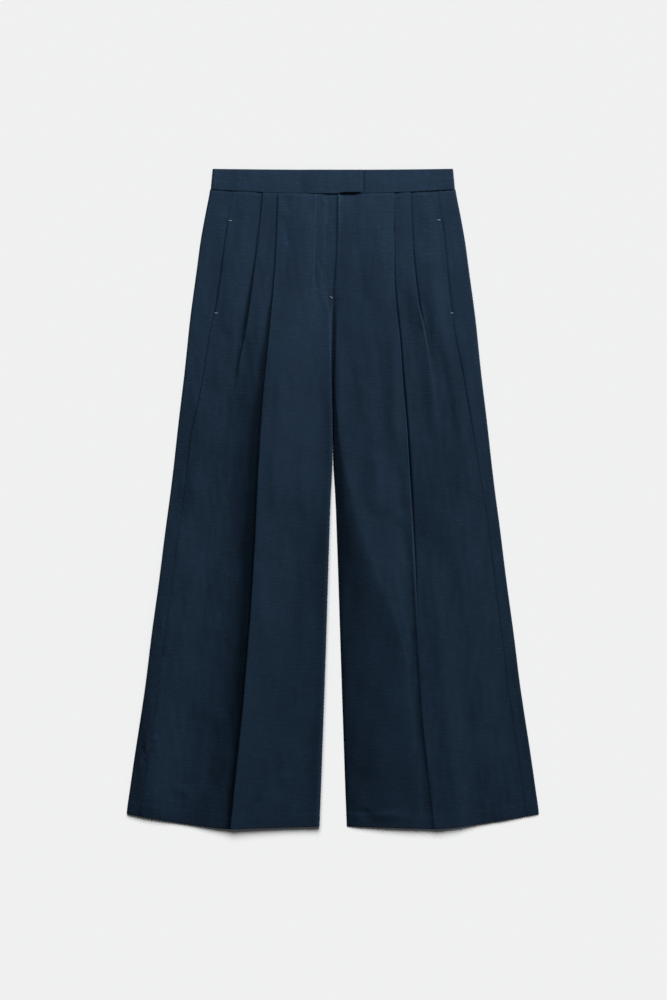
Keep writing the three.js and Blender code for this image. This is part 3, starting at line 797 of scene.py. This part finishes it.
def wall(name, middle, thickness, cloth_map, finish):
    """
    A closed wall of cloth from the grid of its middle. Each point goes half the thickness to either side along
    the surface's normal, which is the cross product of the grid's two slopes, and a rim joins the two faces.
    The cloth map says where each point lies on the flat cloth.
    """
    rows, columns = middle.shape[:2]
    normal = unit(np.cross(np.gradient(middle, axis=0), np.gradient(middle, axis=1)))
    half = 0.5 * np.broadcast_to(thickness, (rows, columns))[..., None]
    points = np.concatenate((middle + half * normal, middle - half * normal)).reshape(-1, 3)
    index = np.arange(rows * columns).reshape(rows, columns)
    outer = np.stack((index[:-1, :-1], index[1:, :-1], index[1:, 1:], index[:-1, 1:]), -1).reshape(-1, 4)
    border = np.concatenate((index[:, 0], index[-1, 1:], index[-2::-1, -1], index[0, -2:0:-1]))
    following = np.roll(border, -1)
    rim = np.stack((following, border, border + rows * columns, following + rows * columns), -1)
    faces = np.concatenate((outer, outer[:, ::-1] + rows * columns, rim))
    mesh = mesh_from(name, points * MM, faces)
    corners = np.empty(len(mesh.loops), np.int32)
    mesh.loops.foreach_get("vertex_index", corners)
    places = np.tile(cloth_map.reshape(-1, 2), (2, 1))[corners]
    mesh.uv_layers.new(name="cloth").data.foreach_set("uv", places.astype(np.float32).ravel())
    mesh.set_sharp_from_angle(angle=np.radians(SHARP_ANGLE))
    return piece(name, mesh, finish)


def mesh_from(name, points, faces):
    """A mesh of quads from an array of points, in metres, and an array of faces."""
    mesh = bpy.data.meshes.new(name)
    mesh.vertices.add(len(points))
    mesh.vertices.foreach_set("co", points.astype(np.float32).ravel())
    mesh.loops.add(faces.size)
    mesh.loops.foreach_set("vertex_index", faces.astype(np.int32).ravel())
    mesh.polygons.add(len(faces))
    mesh.polygons.foreach_set("loop_start", np.arange(0, faces.size, faces.shape[1], dtype=np.int32))
    mesh.update(calc_edges=True)
    mesh.validate()
    mesh.shade_smooth()
    return mesh


def piece(name, mesh, finish):
    """Puts a mesh in the scene with its material, in the studio lights that are kept for the cloth."""
    old = bpy.data.objects.get(name)
    if old:
        bpy.data.objects.remove(old)
    made = bpy.data.objects.new(name, mesh)
    made.data.materials.append(finish)
    bpy.context.scene.collection.objects.link(made)
    if "lit_cloth" in bpy.data.collections:
        bpy.data.collections["lit_cloth"].objects.link(made)
    return made


def place(out, down, height, leg):
    """Points as x, y and z: out runs along X on the leg's side, and down along -Y from the waist edge."""
    return np.stack(np.broadcast_arrays(LEGS[leg] * out, LENGTH / 2 - down, height), -1)


def along_cloth(middle, start):
    """
    Where each point lies on the flat cloth, in metres: the length walked across the section from column
    "start", and how far down the garment it is.
    """
    steps = np.linalg.norm(np.diff(middle, axis=1), axis=-1)
    across = np.hstack((np.zeros((len(middle), 1)), steps.cumsum(1)))
    return np.stack((across - across[:, [start]], -middle[..., 1]), -1) * MM


def declare(made, nodes):
    """Ties a piece to the frame and hides the packed model's parts that it stands for."""
    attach(made, "root")
    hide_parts(*nodes)


# ---- Materials ----
def add_node(tree, kind, inputs=(), **settings):
    """Adds a node. Settings are its own, and inputs give each socket a value or another node's output."""
    node = tree.nodes.new("ShaderNode" + kind)
    for name, value in settings.items():
        setattr(node, name, value)
    for socket, value in dict(inputs).items():
        if isinstance(value, bpy.types.NodeSocket):
            tree.links.new(value, node.inputs[socket])
        else:
            node.inputs[socket].default_value = value
    return node


def new_material(name):
    """An empty node material and its tree."""
    old = bpy.data.materials.get(name)
    if old:
        bpy.data.materials.remove(old)
    material = bpy.data.materials.new(name)
    material.use_nodes = True
    material.node_tree.nodes.clear()
    return material, material.node_tree


def covered(material, cover):
    """The material, with its output joined to a shader that has these inputs."""
    shader = add_node(material.node_tree, "BsdfPrincipled", cover)
    add_node(material.node_tree, "OutputMaterial", {"Surface": shader.outputs[0]})
    return material


# The patterns of the linen: their spots' size across and down the cloth, in mm, how much finer detail they
# have, the noise that counts as none and as all of the pattern, and the pattern's strength. The real yarns are
# about 0.5 mm apart. They are drawn about 3 mm apart, so that they show from as far as the camera stands.
LINEN = {
    "weave": (4, 3.4, 1, 0.25, 0.75, 0.2),
    "weft": (30, 3, 1, 0.3, 0.7, 0.24),
    "warp": (2.8, 40, 1, 0.3, 0.7, 0.14),
    "dye": (70, 110, 2, 0.1, 0.9, 0.42),
    "weft_slubs": (12, 2.4, 1, 0.58, 0.84, 1),
    "warp_slubs": (2.2, 16, 1, 0.62, 0.86, 0.5),
}
SLUB_PALENESS = 0.15
WEAVE_RELIEF = 0.7
SLUB_RELIEF = 0.8
TWILL = 1.2  # from one ridge of the pocketing's twill to the next, which is 0.6 mm on the real cloth
TWIST = 0.45  # from one turn of a thread's twist to the next
SPRAY = 2.5  # the grain of the sprayed board


def linen():
    """
    Linen, plain-woven from uneven flax yarn and dyed navy, then pressed. The yarn's thick places show as short
    pale dashes, mostly across the leg, the surface is dull, and the dye takes a little unevenly.
    """
    name = "woven_navy_linen"
    if name in bpy.data.materials:
        return bpy.data.materials[name]
    material, tree = new_material(name)
    colours = bpy.context.scene.trousers
    cloth = add_node(tree, "UVMap", uv_map="cloth").outputs[0]
    noise, pattern = {}, {}
    for key, (across, down, detail, none, full, strength) in LINEN.items():
        scaled = add_node(tree, "Mapping", {"Vector": cloth, "Scale": (1 / (across * MM), 1 / (down * MM), 1)})
        spots = {"Vector": scaled.outputs[0], "Scale": 1, "Detail": detail}
        noise[key] = add_node(tree, "TexNoise", spots).outputs["Fac"]
        limits = {"Value": noise[key], "From Min": none, "From Max": full, "To Max": strength}
        pattern[key] = add_node(tree, "MapRange", limits).outputs[0]
    yarn = pattern["weave"]
    for key in ("weft", "warp", "dye"):
        yarn = add_node(tree, "Math", {0: yarn, 1: pattern[key]}, operation="ADD").outputs[0]
    slubs = {0: pattern["weft_slubs"], 1: pattern["warp_slubs"]}
    slubs = add_node(tree, "Math", slubs, operation="MAXIMUM").outputs[0]
    pale = add_node(tree, "Math", {0: slubs, 1: SLUB_PALENESS}, operation="MULTIPLY").outputs[0]
    colour = (*colours.linen_deep, 1)
    for share, tone in ((yarn, colours.linen), (pale, colours.linen_slub)):
        colour = add_node(tree, "Mix", {0: share, 6: colour, 7: (*tone, 1)}, data_type="RGBA").outputs[2]
    woven = add_node(tree, "Math", {0: noise["weave"], 1: WEAVE_RELIEF}, operation="MULTIPLY").outputs[0]
    relief = {0: slubs, 1: SLUB_RELIEF, 2: woven}
    relief = add_node(tree, "Math", relief, operation="MULTIPLY_ADD").outputs[0]
    bump = add_node(tree, "Bump", {"Height": relief, "Strength": 0.35, "Distance": 0.5 * MM})
    rough = add_node(tree, "MapRange", {"Value": noise["weft"], "To Min": 0.78, "To Max": 0.95})
    cover = {"Base Color": colour, "Roughness": rough.outputs[0], "Normal": bump.outputs[0]}
    return covered(material, cover | {"Specular IOR Level": 0.12})


def pocketing():
    """Cotton pocketing, twill-woven and dyed: smooth and dull, with its fine diagonal just seen."""
    material, tree = new_material("twill_cotton_pocketing")
    colour = (*bpy.context.scene.trousers.pocketing, 1)
    place_on = add_node(tree, "TexCoord").outputs["Object"]
    turned = add_node(tree, "Mapping", {"Vector": place_on, "Rotation": (0, 0, np.pi / 4)})
    # A wave texture runs through twenty radians in each unit of its scale.
    ridges = {"Vector": turned.outputs[0], "Scale": 2 * np.pi / 20 / (TWILL * MM), "Distortion": 0.6}
    twill = add_node(tree, "TexWave", ridges)
    bump = add_node(tree, "Bump", {"Height": twill.outputs["Fac"], "Strength": 0.3, "Distance": 0.3 * MM})
    return covered(material, {"Base Color": colour, "Roughness": 0.85, "Normal": bump.outputs[0]})


def thread(name, colour):
    """Spun polyester sewing thread: a round, faintly shiny strand, mottled fine by the turns of its twist."""
    material, tree = new_material(name)
    place_on = add_node(tree, "TexCoord").outputs["Object"]
    turns = {"Vector": place_on, "Scale": 1 / (TWIST * MM), "Detail": 1}
    ribs = add_node(tree, "TexNoise", turns).outputs["Fac"]
    darker = [0.72 * channel for channel in colour]
    shade = add_node(tree, "Mix", {0: ribs, 6: (*darker, 1), 7: (*colour, 1)}, data_type="RGBA").outputs[2]
    bump = add_node(tree, "Bump", {"Height": ribs, "Strength": 0.3, "Distance": 0.1 * MM})
    return covered(material, {"Base Color": shade, "Roughness": 0.55, "Normal": bump.outputs[0]})


def studio_floor():
    """White studio board, sprayed matt: even and dull, with a grain too fine to throw light back sharply."""
    material, tree = new_material("sprayed_white_board")
    colour = (*bpy.context.scene.trousers.floor, 1)
    place_on = add_node(tree, "TexCoord").outputs["Object"]
    spray = add_node(tree, "TexNoise", {"Vector": place_on, "Scale": 1 / (SPRAY * MM), "Detail": 2})
    bump = add_node(tree, "Bump", {"Height": spray.outputs["Fac"], "Strength": 0.02, "Distance": 0.2 * MM})
    cover = {"Base Color": colour, "Roughness": 0.9, "Specular IOR Level": 0.1, "Normal": bump.outputs[0]}
    return covered(material, cover)


# ---- Pieces ----
def stations(first, last, count):
    """Distances down at which sections are drawn: evenly, with a few more where an edge is rounded."""
    even = np.linspace(first, last, count)
    edges = (first + TOP_STRIP, last - EDGE_ROUND, last - EDGE_ROUND / 2, last - EDGE_ROUND / 6)
    return np.sort(np.append(even, edges))[:, None]


def side_seam_relief(out, down, leg):
    """
    The side seam: a narrow valley and a ledge, both deeper along the pocket's opening, and puckers, which are
    a sine wave that grows and fades along the seam, under a bell across it.
    """
    to_seam = out - (side_fold(down) - look_up(SIDE_SEAM[leg], "inset", down))
    (top, foot), (deepens, flattens) = POCKET_OPENING, OPENING_ENDS
    opening = smooth((down - top) / deepens) * smooth((foot - down) / flattens)
    flatter = smooth((down - SEAM_FLATTENS) / SEAM_FLATTENS_REACH)
    below = smooth((down - foot) / LEDGE_BELOW_REACH) * (1 - 0.7 * flatter)
    waves = np.sin(2 * np.pi * (down + PUCKER_SLANT * to_seam) / PUCKER) * np.sin(down / PUCKER_FADE)
    pucker = waves * groove(to_seam, PUCKER_WIDTH, -PUCKER_HEIGHT) * (1 - opening)
    step = SIDE_LEDGE + OPENING_DEPTH * opening + LEDGE_BELOW * (below - flatter)
    valley = groove(to_seam, SIDE_GROOVE, SIDE_GROOVE_DEPTH + OPENING_DEPTH * opening)
    return valley + pucker + ledge(LEGS[leg] * to_seam, step)


def seam_relief(x, out, down, leg):
    """
    The side seam, a valley along the waist seam, the sag below the tab, which is an exponential, the fly's
    ledge, a valley down the centre below the fly, and the print of the hem's turn-up.
    """
    to_fly = x - look_up(INNER_EDGE["right"], "past", down)
    to_waist = down - waist_seam(out)
    by_fly, by_end = TAB_SAG_SIDES
    under_tab = smooth(to_fly / by_fly) * smooth((TAB_END + TAB_LIFT - x) / by_end)
    at_fly, past_crotch = CENTRE_GROOVE_ENDS
    below_fly = smooth((down - FLY_END) / at_fly) * smooth((CROTCH + past_crotch - down) / past_crotch)
    print_depth = HEM_PRINT + HEM_PRINT_CHANGE * np.sin(out / HEM_PRINT_WAVE)
    relief = side_seam_relief(out, down, leg)
    relief += groove(to_waist, WAIST_GROOVE, WAIST_GROOVE_DEPTH)
    relief -= TAB_SAG * under_tab * np.exp(-to_waist / TAB_SAG_REACH)
    relief += ledge(to_fly, FLY_LEDGE) * smooth((FLY_END + FLY_LEDGE_END / 2 - down) / FLY_LEDGE_END)
    relief += groove(x, CENTRE_GROOVE, CENTRE_GROOVE_DEPTH) * below_fly
    return relief + groove(down - hem(out) + HEM_TURN_UP, HEM_PRINT_WIDTH, print_depth)


class TROUSERS_OT_fronts(bpy.types.Operator):
    """Builds the two fronts, with their pleats and pressed creases"""

    bl_idname = "trousers.fronts"
    bl_label = "Fronts"

    def execute(self, context):
        for leg in LEGS:
            down = stations(TOP, LENGTH, FRONT_ROWS)
            out, height = front_section(leg, down)
            true_down = panel_down(out, down)
            x = LEGS[leg] * out
            height = height + front_relief(x, true_down) + seam_relief(x, out, true_down, leg)
            middle = place(out, true_down, height, leg)
            thickness = folded_thickness(down) * rounded(LENGTH - down)
            cloth_map = along_cloth(middle, CREASE_COLUMN)
            made = wall(f"front_{leg}_cloth", middle, thickness, cloth_map, linen())
            declare(made, [f"front_{leg}"])
        return {"FINISHED"}


class TROUSERS_OT_backs(bpy.types.Operator):
    """Builds the two backs, which lie on the surface and roll round the sides to the side seams"""

    bl_idname = "trousers.backs"
    bl_label = "Backs"

    def execute(self, context):
        for leg in LEGS:
            down = stations(TOP, LENGTH, BACK_ROWS)
            out, height = back_section(leg, down)
            true_down = panel_down(out, down)
            x = LEGS[leg] * out
            lower, upper = folded_thickness(down) / 2, look_up(OUTLINE, "front", down)
            on_top = smooth((height - lower) / (upper - lower))
            above = front_relief(x, true_down) + seam_relief(x, out, true_down, leg)
            free = smooth((side_fold(down) - BACK_CLEAR_SIDE - out) / BACK_FADE)
            free *= smooth((out - BACK_CLEAR_END) / BACK_FADE)
            free *= smooth((LENGTH - BACK_CLEAR_END - down) / BACK_FADE_HEM)
            below = np.maximum(fold_relief(BACK_FOLDS, out, true_down), 0) * free
            height = height + blend(below, above, on_top)
            middle = place(out, true_down, height, leg)
            thickness = folded_thickness(down) * rounded(LENGTH - down)
            cloth_map = along_cloth(middle, BACK_COLUMN)
            made = wall(f"back_{leg}_cloth", middle, thickness, cloth_map, linen())
            declare(made, [f"back_{leg}"])
        return {"FINISHED"}


class TROUSERS_OT_waistband(bpy.types.Operator):
    """Builds the two halves of the waistband, the right one with its squared tab"""

    bl_idname = "trousers.waistband"
    bl_label = "Waistband"

    def execute(self, context):
        for leg in LEGS:
            share = 0.5 - 0.5 * np.cos(np.pi * np.linspace(0, 1, BAND_ROWS))[:, None]
            out, height = band_section(leg, blend(HALF_WAIST, OUTLINE["side"][1], share))
            top = BAND_DIP * (1 - (out / HALF_WAIST) ** 2)
            on_tab = smooth((-out - TAB_STEP) / TAB_STEP) if leg == "right" else 0
            down = blend(top, waist_seam(out) - SEWN_GAP / 2 - TAB_LIFT * on_tab, share)
            x = LEGS[leg] * out
            on_top = smooth((height - BAND_FLOOR) / (BAND_FRONT - BAND_FLOOR))
            # The band's unevenness is finer than the legs', and doesn't run on from theirs.
            crumple = sum(part * rumple(finer * x + shift, finer * down) for part, finer, shift in CRUMPLES)
            shape = BAND_SWELL * np.sin(np.pi * share) + BAND_TILT * (share - 0.5)
            height = height + on_top * (crumple + shape)
            middle = place(out, down, height, leg)
            across = BAND_AT_CENTRE * np.minimum(share, 1 - share)
            to_end = np.abs(out - out[:, -1:]) + BAND_END_SLIVER
            thickness = BAND * rounded(across, BAND_ROUND) * rounded(to_end, BAND_END_ROUND)
            made = wall(f"waistband_{leg}_cloth", middle, thickness, along_cloth(middle, -1), linen())
            declare(made, [f"waistband_{leg}"])
        return {"FINISHED"}


class TROUSERS_OT_pocket_bags(bpy.types.Operator):
    """Builds the two pocket bags, which lie between the fronts and the backs"""

    bl_idname = "trousers.pocket_bags"
    bl_label = "Pocket bags"

    def execute(self, context):
        finish = pocketing()
        for leg in LEGS:
            down = np.linspace(POCKET_BAG["down"][0], POCKET_BAG["down"][-1], POCKET_ROWS)[:, None]
            out, height = pocket_section(leg, down)
            middle = place(out, panel_down(out, down), height, leg)
            made = wall(f"pocket_bag_{leg}_cloth", middle, POCKETING, along_cloth(middle, 0), finish)
            declare(made, [f"pocket_bag_{leg}"])
        return {"FINISHED"}


# ---- Stitching ----
def strands(name, centres, headings, normals, length, breadth, finish):
    """
    Rounded strands: each a grid of circles whose radius follows a half ellipse from end to end, centred at a
    point with its length along its heading. All of them are made at once, as one mesh whose ends are closed.
    """
    rings, sides = STRAND_RINGS, STRAND_SIDES
    share = -np.cos(np.pi * np.arange(rings) / (rings - 1))
    turn = 2 * np.pi * np.arange(sides) / sides
    radius = np.sqrt(np.maximum(1 - share**2, STRAND_END)) * breadth / 2
    sideways = np.cross(normals, headings)
    ring = (
        centres[:, None, None] + headings[:, None, None] * (share[:, None, None] * length / 2)
        + sideways[:, None, None] * (radius[:, None] * np.cos(turn))[..., None]
        + normals[:, None, None] * (radius[:, None] * np.sin(turn))[..., None]
    )
    index = np.arange(len(centres) * rings * sides).reshape(-1, rings, sides)
    across = np.roll(index, -1, 2)
    quads = np.stack((index[:, :-1], across[:, :-1], across[:, 1:], index[:, 1:]), -1).reshape(-1, 4)
    mesh = mesh_from(name, ring.reshape(-1, 3) * MM, quads)
    work = bmesh.new()
    work.from_mesh(mesh)
    bmesh.ops.holes_fill(work, edges=[edge for edge in work.edges if edge.is_boundary], sides=0)
    bmesh.ops.recalc_face_normals(work, faces=work.faces)
    work.to_mesh(mesh)
    work.free()
    made = piece(name, mesh, finish)
    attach(made, "root")


def on_surface(points, under):
    """Height of the highest cloth under each (x, down) point, out of the pieces named."""
    graph = bpy.context.evaluated_depsgraph_get()
    trees = [BVHTree.FromObject(bpy.data.objects[name], graph) for name in under]
    heights = []
    for x, down in points:
        start = Vector((x * MM, (LENGTH / 2 - down) * MM, LOOK_FROM))
        hits = [tree.ray_cast(start, Vector((0, 0, -1)))[0] for tree in trees]
        found = [hit.z / MM for hit in hits if hit is not None]
        if not found:
            raise RuntimeError(f"there is no cloth under the stitch at {x:.1f}, {down:.1f}")
        heights.append(max(found))
    return np.array(heights)


def fly_line():
    """The fly's stitching as (x, down) points: nearly straight, then a quarter ellipse in to its foot."""
    widest = FLY_STITCH_OUT + FLY_STITCH_SPREAD
    top, corner = np.array((FLY_STITCH_OUT, TOP + FLY_STITCH_START)), np.array((widest, FLY_STITCH_TURN))
    straight = blend(top, corner, np.linspace(0, 1, FLY_LINE_POINTS[0])[:, None])
    turn = np.linspace(0, np.pi / 2, FLY_LINE_POINTS[1])[1:]
    shares = np.stack((1 - np.cos(turn), np.sin(turn)), -1)
    return np.vstack((straight, blend(corner, np.array(FLY_STITCH_FOOT), shares))) * (LEGS["right"], 1)


class TROUSERS_OT_fly_stitching(bpy.types.Operator):
    """Sews the curved line of stitches round the fly"""

    bl_idname = "trousers.fly_stitching"
    bl_label = "Fly stitching"

    def execute(self, context):
        line = fly_line()
        walked = np.append(0, np.linalg.norm(np.diff(line, axis=0), axis=1).cumsum())
        middles = np.arange(STITCH / 2, walked[-1], STITCH_SPACE)
        before, at, after = (
            np.stack([np.interp(middles + shift, walked, line[:, i]) for i in (0, 1)], -1)
            for shift in (-1, 0, 1)
        )
        low, level, high = (on_surface(points, ["front_right_cloth"]) for points in (before, at, after))
        headings = unit(np.stack((after[:, 0] - before[:, 0], before[:, 1] - after[:, 1], high - low), -1))
        normals = unit(np.cross(np.cross(headings, (0, 0, 1)), headings))
        centres = np.stack((at[:, 0], LENGTH / 2 - at[:, 1], level + STITCH_RISE), -1)
        finish = thread("spun_polyester_thread", context.scene.trousers.thread)
        strands("fly_stitching", centres, headings, normals, STITCH, THREAD, finish)
        return {"FINISHED"}


class TROUSERS_OT_bar_tacks(bpy.types.Operator):
    """Sews the bar tacks at the ends of the pocket openings and at the foot of the fly"""

    bl_idname = "trousers.bar_tacks"
    bl_label = "Bar tacks"

    def execute(self, context):
        tacks = [(LEGS[leg] * out, down, 0) for leg, ends in POCKET_TACKS.items() for out, down in ends]
        tacks.append((LEGS["right"] * FLY_TACK[0], FLY_TACK[1], -FLY_TACK_TILT))
        steps = (np.arange(TACK_THREADS) + 0.5) / TACK_THREADS - 0.5
        cloths = [f"{side}_{leg}_cloth" for side in ("front", "back") for leg in LEGS]
        centres, headings = [], []
        for x, down, tilt in tacks:
            along = np.array([np.cos(np.radians(tilt)), np.sin(np.radians(tilt))])
            row = np.array([x, LENGTH / 2 - down]) + steps[:, None] * TACK_LENGTH * along
            level = on_surface(np.stack((row[:, 0], LENGTH / 2 - row[:, 1]), -1), cloths).mean() + TACK_RISE
            centres.append(np.hstack((row, np.full((TACK_THREADS, 1), level))))
            headings.append(np.tile((-along[1], along[0], 0), (TACK_THREADS, 1)))
        centres, headings = np.vstack(centres), np.vstack(headings)
        normals = np.tile((0, 0, 1), (len(centres), 1))
        finish = thread("spun_polyester_tack_thread", context.scene.trousers.tack_thread)
        strands("bar_tacks", centres, headings, normals, TACK_WIDTH, TACK_THREAD, finish)
        return {"FINISHED"}


# ---- Stage, in metres ----
FLOOR_REACH = 40
CAMERA_PLACE = (0.0011, -0.0019, 4.44)
LENS = 100  # its focal length, in mm
AIR = (0.94, 0.97, 1, 1)  # colour of the light from all round
AIR_STRENGTH = 0.09
# The first two lights are suns, whose breadth is an angle, in degrees, as the cloth sees it.
KEY_PLACE = (0.8, 0.5, 0.34)
KEY_STRENGTH = 4.66
KEY_BREADTH = 16
FLOOR_LIGHT_PLACE = (0, 1, 1.1)
FLOOR_LIGHT_STRENGTH = 4.05
FLOOR_LIGHT_BREADTH = 40
SOFT_BOX_PLACE = (0.14, 1.05, 0.44)
SOFT_BOX_POWER = 12.5
SOFT_BOX_SIZE = (1.4, 0.5)


def add_light(name, kind, place_at, energy, lit, **settings):
    """A light turned to face the middle of the garment, which shines on the pieces of one collection only."""
    lamp = bpy.data.lights.new(name, kind)
    lamp.energy = energy
    for setting, value in settings.items():
        setattr(lamp, setting, value)
    light = bpy.data.objects.new(name, lamp)
    light.location = place_at
    light.rotation_mode = "QUATERNION"
    light.rotation_quaternion = Vector(place_at).to_track_quat("Z", "Y")
    light.light_linking.receiver_collection = lit
    bpy.context.scene.collection.objects.link(light)


class TROUSERS_OT_stage(bpy.types.Operator):
    """Lays the pale floor and sets the soft studio light and the camera straight above"""

    bl_idname = "trousers.stage"
    bl_label = "Stage"

    def execute(self, context):
        scene = context.scene
        scene.view_settings.view_transform = "Standard"
        corners = FLOOR_REACH * np.array([(-1.0, -1, 0), (1, -1, 0), (1, 1, 0), (-1, 1, 0)])
        floor = piece("floor", mesh_from("floor", corners, np.array([[0, 1, 2, 3]])), studio_floor())
        world = bpy.data.worlds.new("studio_air")
        world.use_nodes = True
        background = world.node_tree.nodes["Background"]
        background.inputs["Color"].default_value = AIR
        background.inputs["Strength"].default_value = AIR_STRENGTH
        scene.world = world
        # The cloth and the floor have lights of their own, so that the floor stays as even as a white board.
        cloth = bpy.data.collections.new("lit_cloth")
        board = bpy.data.collections.new("lit_floor")
        board.objects.link(floor)
        key, soft = np.radians(KEY_BREADTH), np.radians(FLOOR_LIGHT_BREADTH)
        size, size_y = SOFT_BOX_SIZE
        add_light("key_light", "SUN", KEY_PLACE, KEY_STRENGTH, cloth, angle=key)
        add_light("floor_light", "SUN", FLOOR_LIGHT_PLACE, FLOOR_LIGHT_STRENGTH, board, angle=soft)
        add_light("soft_box", "AREA", SOFT_BOX_PLACE, SOFT_BOX_POWER, cloth, shape="RECTANGLE", size=size,
                  size_y=size_y)
        camera = bpy.data.objects.new("camera", bpy.data.cameras.new("camera"))
        camera.data.lens = LENS
        camera.location = CAMERA_PLACE
        scene.collection.objects.link(camera)
        scene.camera = camera
        return {"FINISHED"}


class TROUSERS_PT_panel(bpy.types.Panel):
    """Lists the settings and the operators that build the trousers"""

    bl_label = "Trousers"
    bl_idname = "TROUSERS_PT_panel"
    bl_space_type = "VIEW_3D"
    bl_region_type = "UI"
    bl_category = "Trousers"

    def draw(self, context):
        for name in TrousersSettings.__annotations__:
            self.layout.prop(context.scene.trousers, name)
        for operator in OPERATORS:
            self.layout.operator(operator.bl_idname)


OPERATORS = (
    TROUSERS_OT_stage,
    TROUSERS_OT_backs,
    TROUSERS_OT_pocket_bags,
    TROUSERS_OT_fronts,
    TROUSERS_OT_waistband,
    TROUSERS_OT_fly_stitching,
    TROUSERS_OT_bar_tacks,
)
CLASSES = (TrousersSettings, *OPERATORS, TROUSERS_PT_panel)


def register():
    for made in CLASSES:
        bpy.utils.register_class(made)
    bpy.types.Scene.trousers = PointerProperty(type=TrousersSettings)


def unregister():
    del bpy.types.Scene.trousers
    for made in reversed(CLASSES):
        bpy.utils.unregister_class(made)


def main():
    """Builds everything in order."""
    register()
    for operator in OPERATORS:
        group, name = operator.bl_idname.split(".")
        getattr(getattr(bpy.ops, group), name)()


if __name__ == "__main__":
    main()
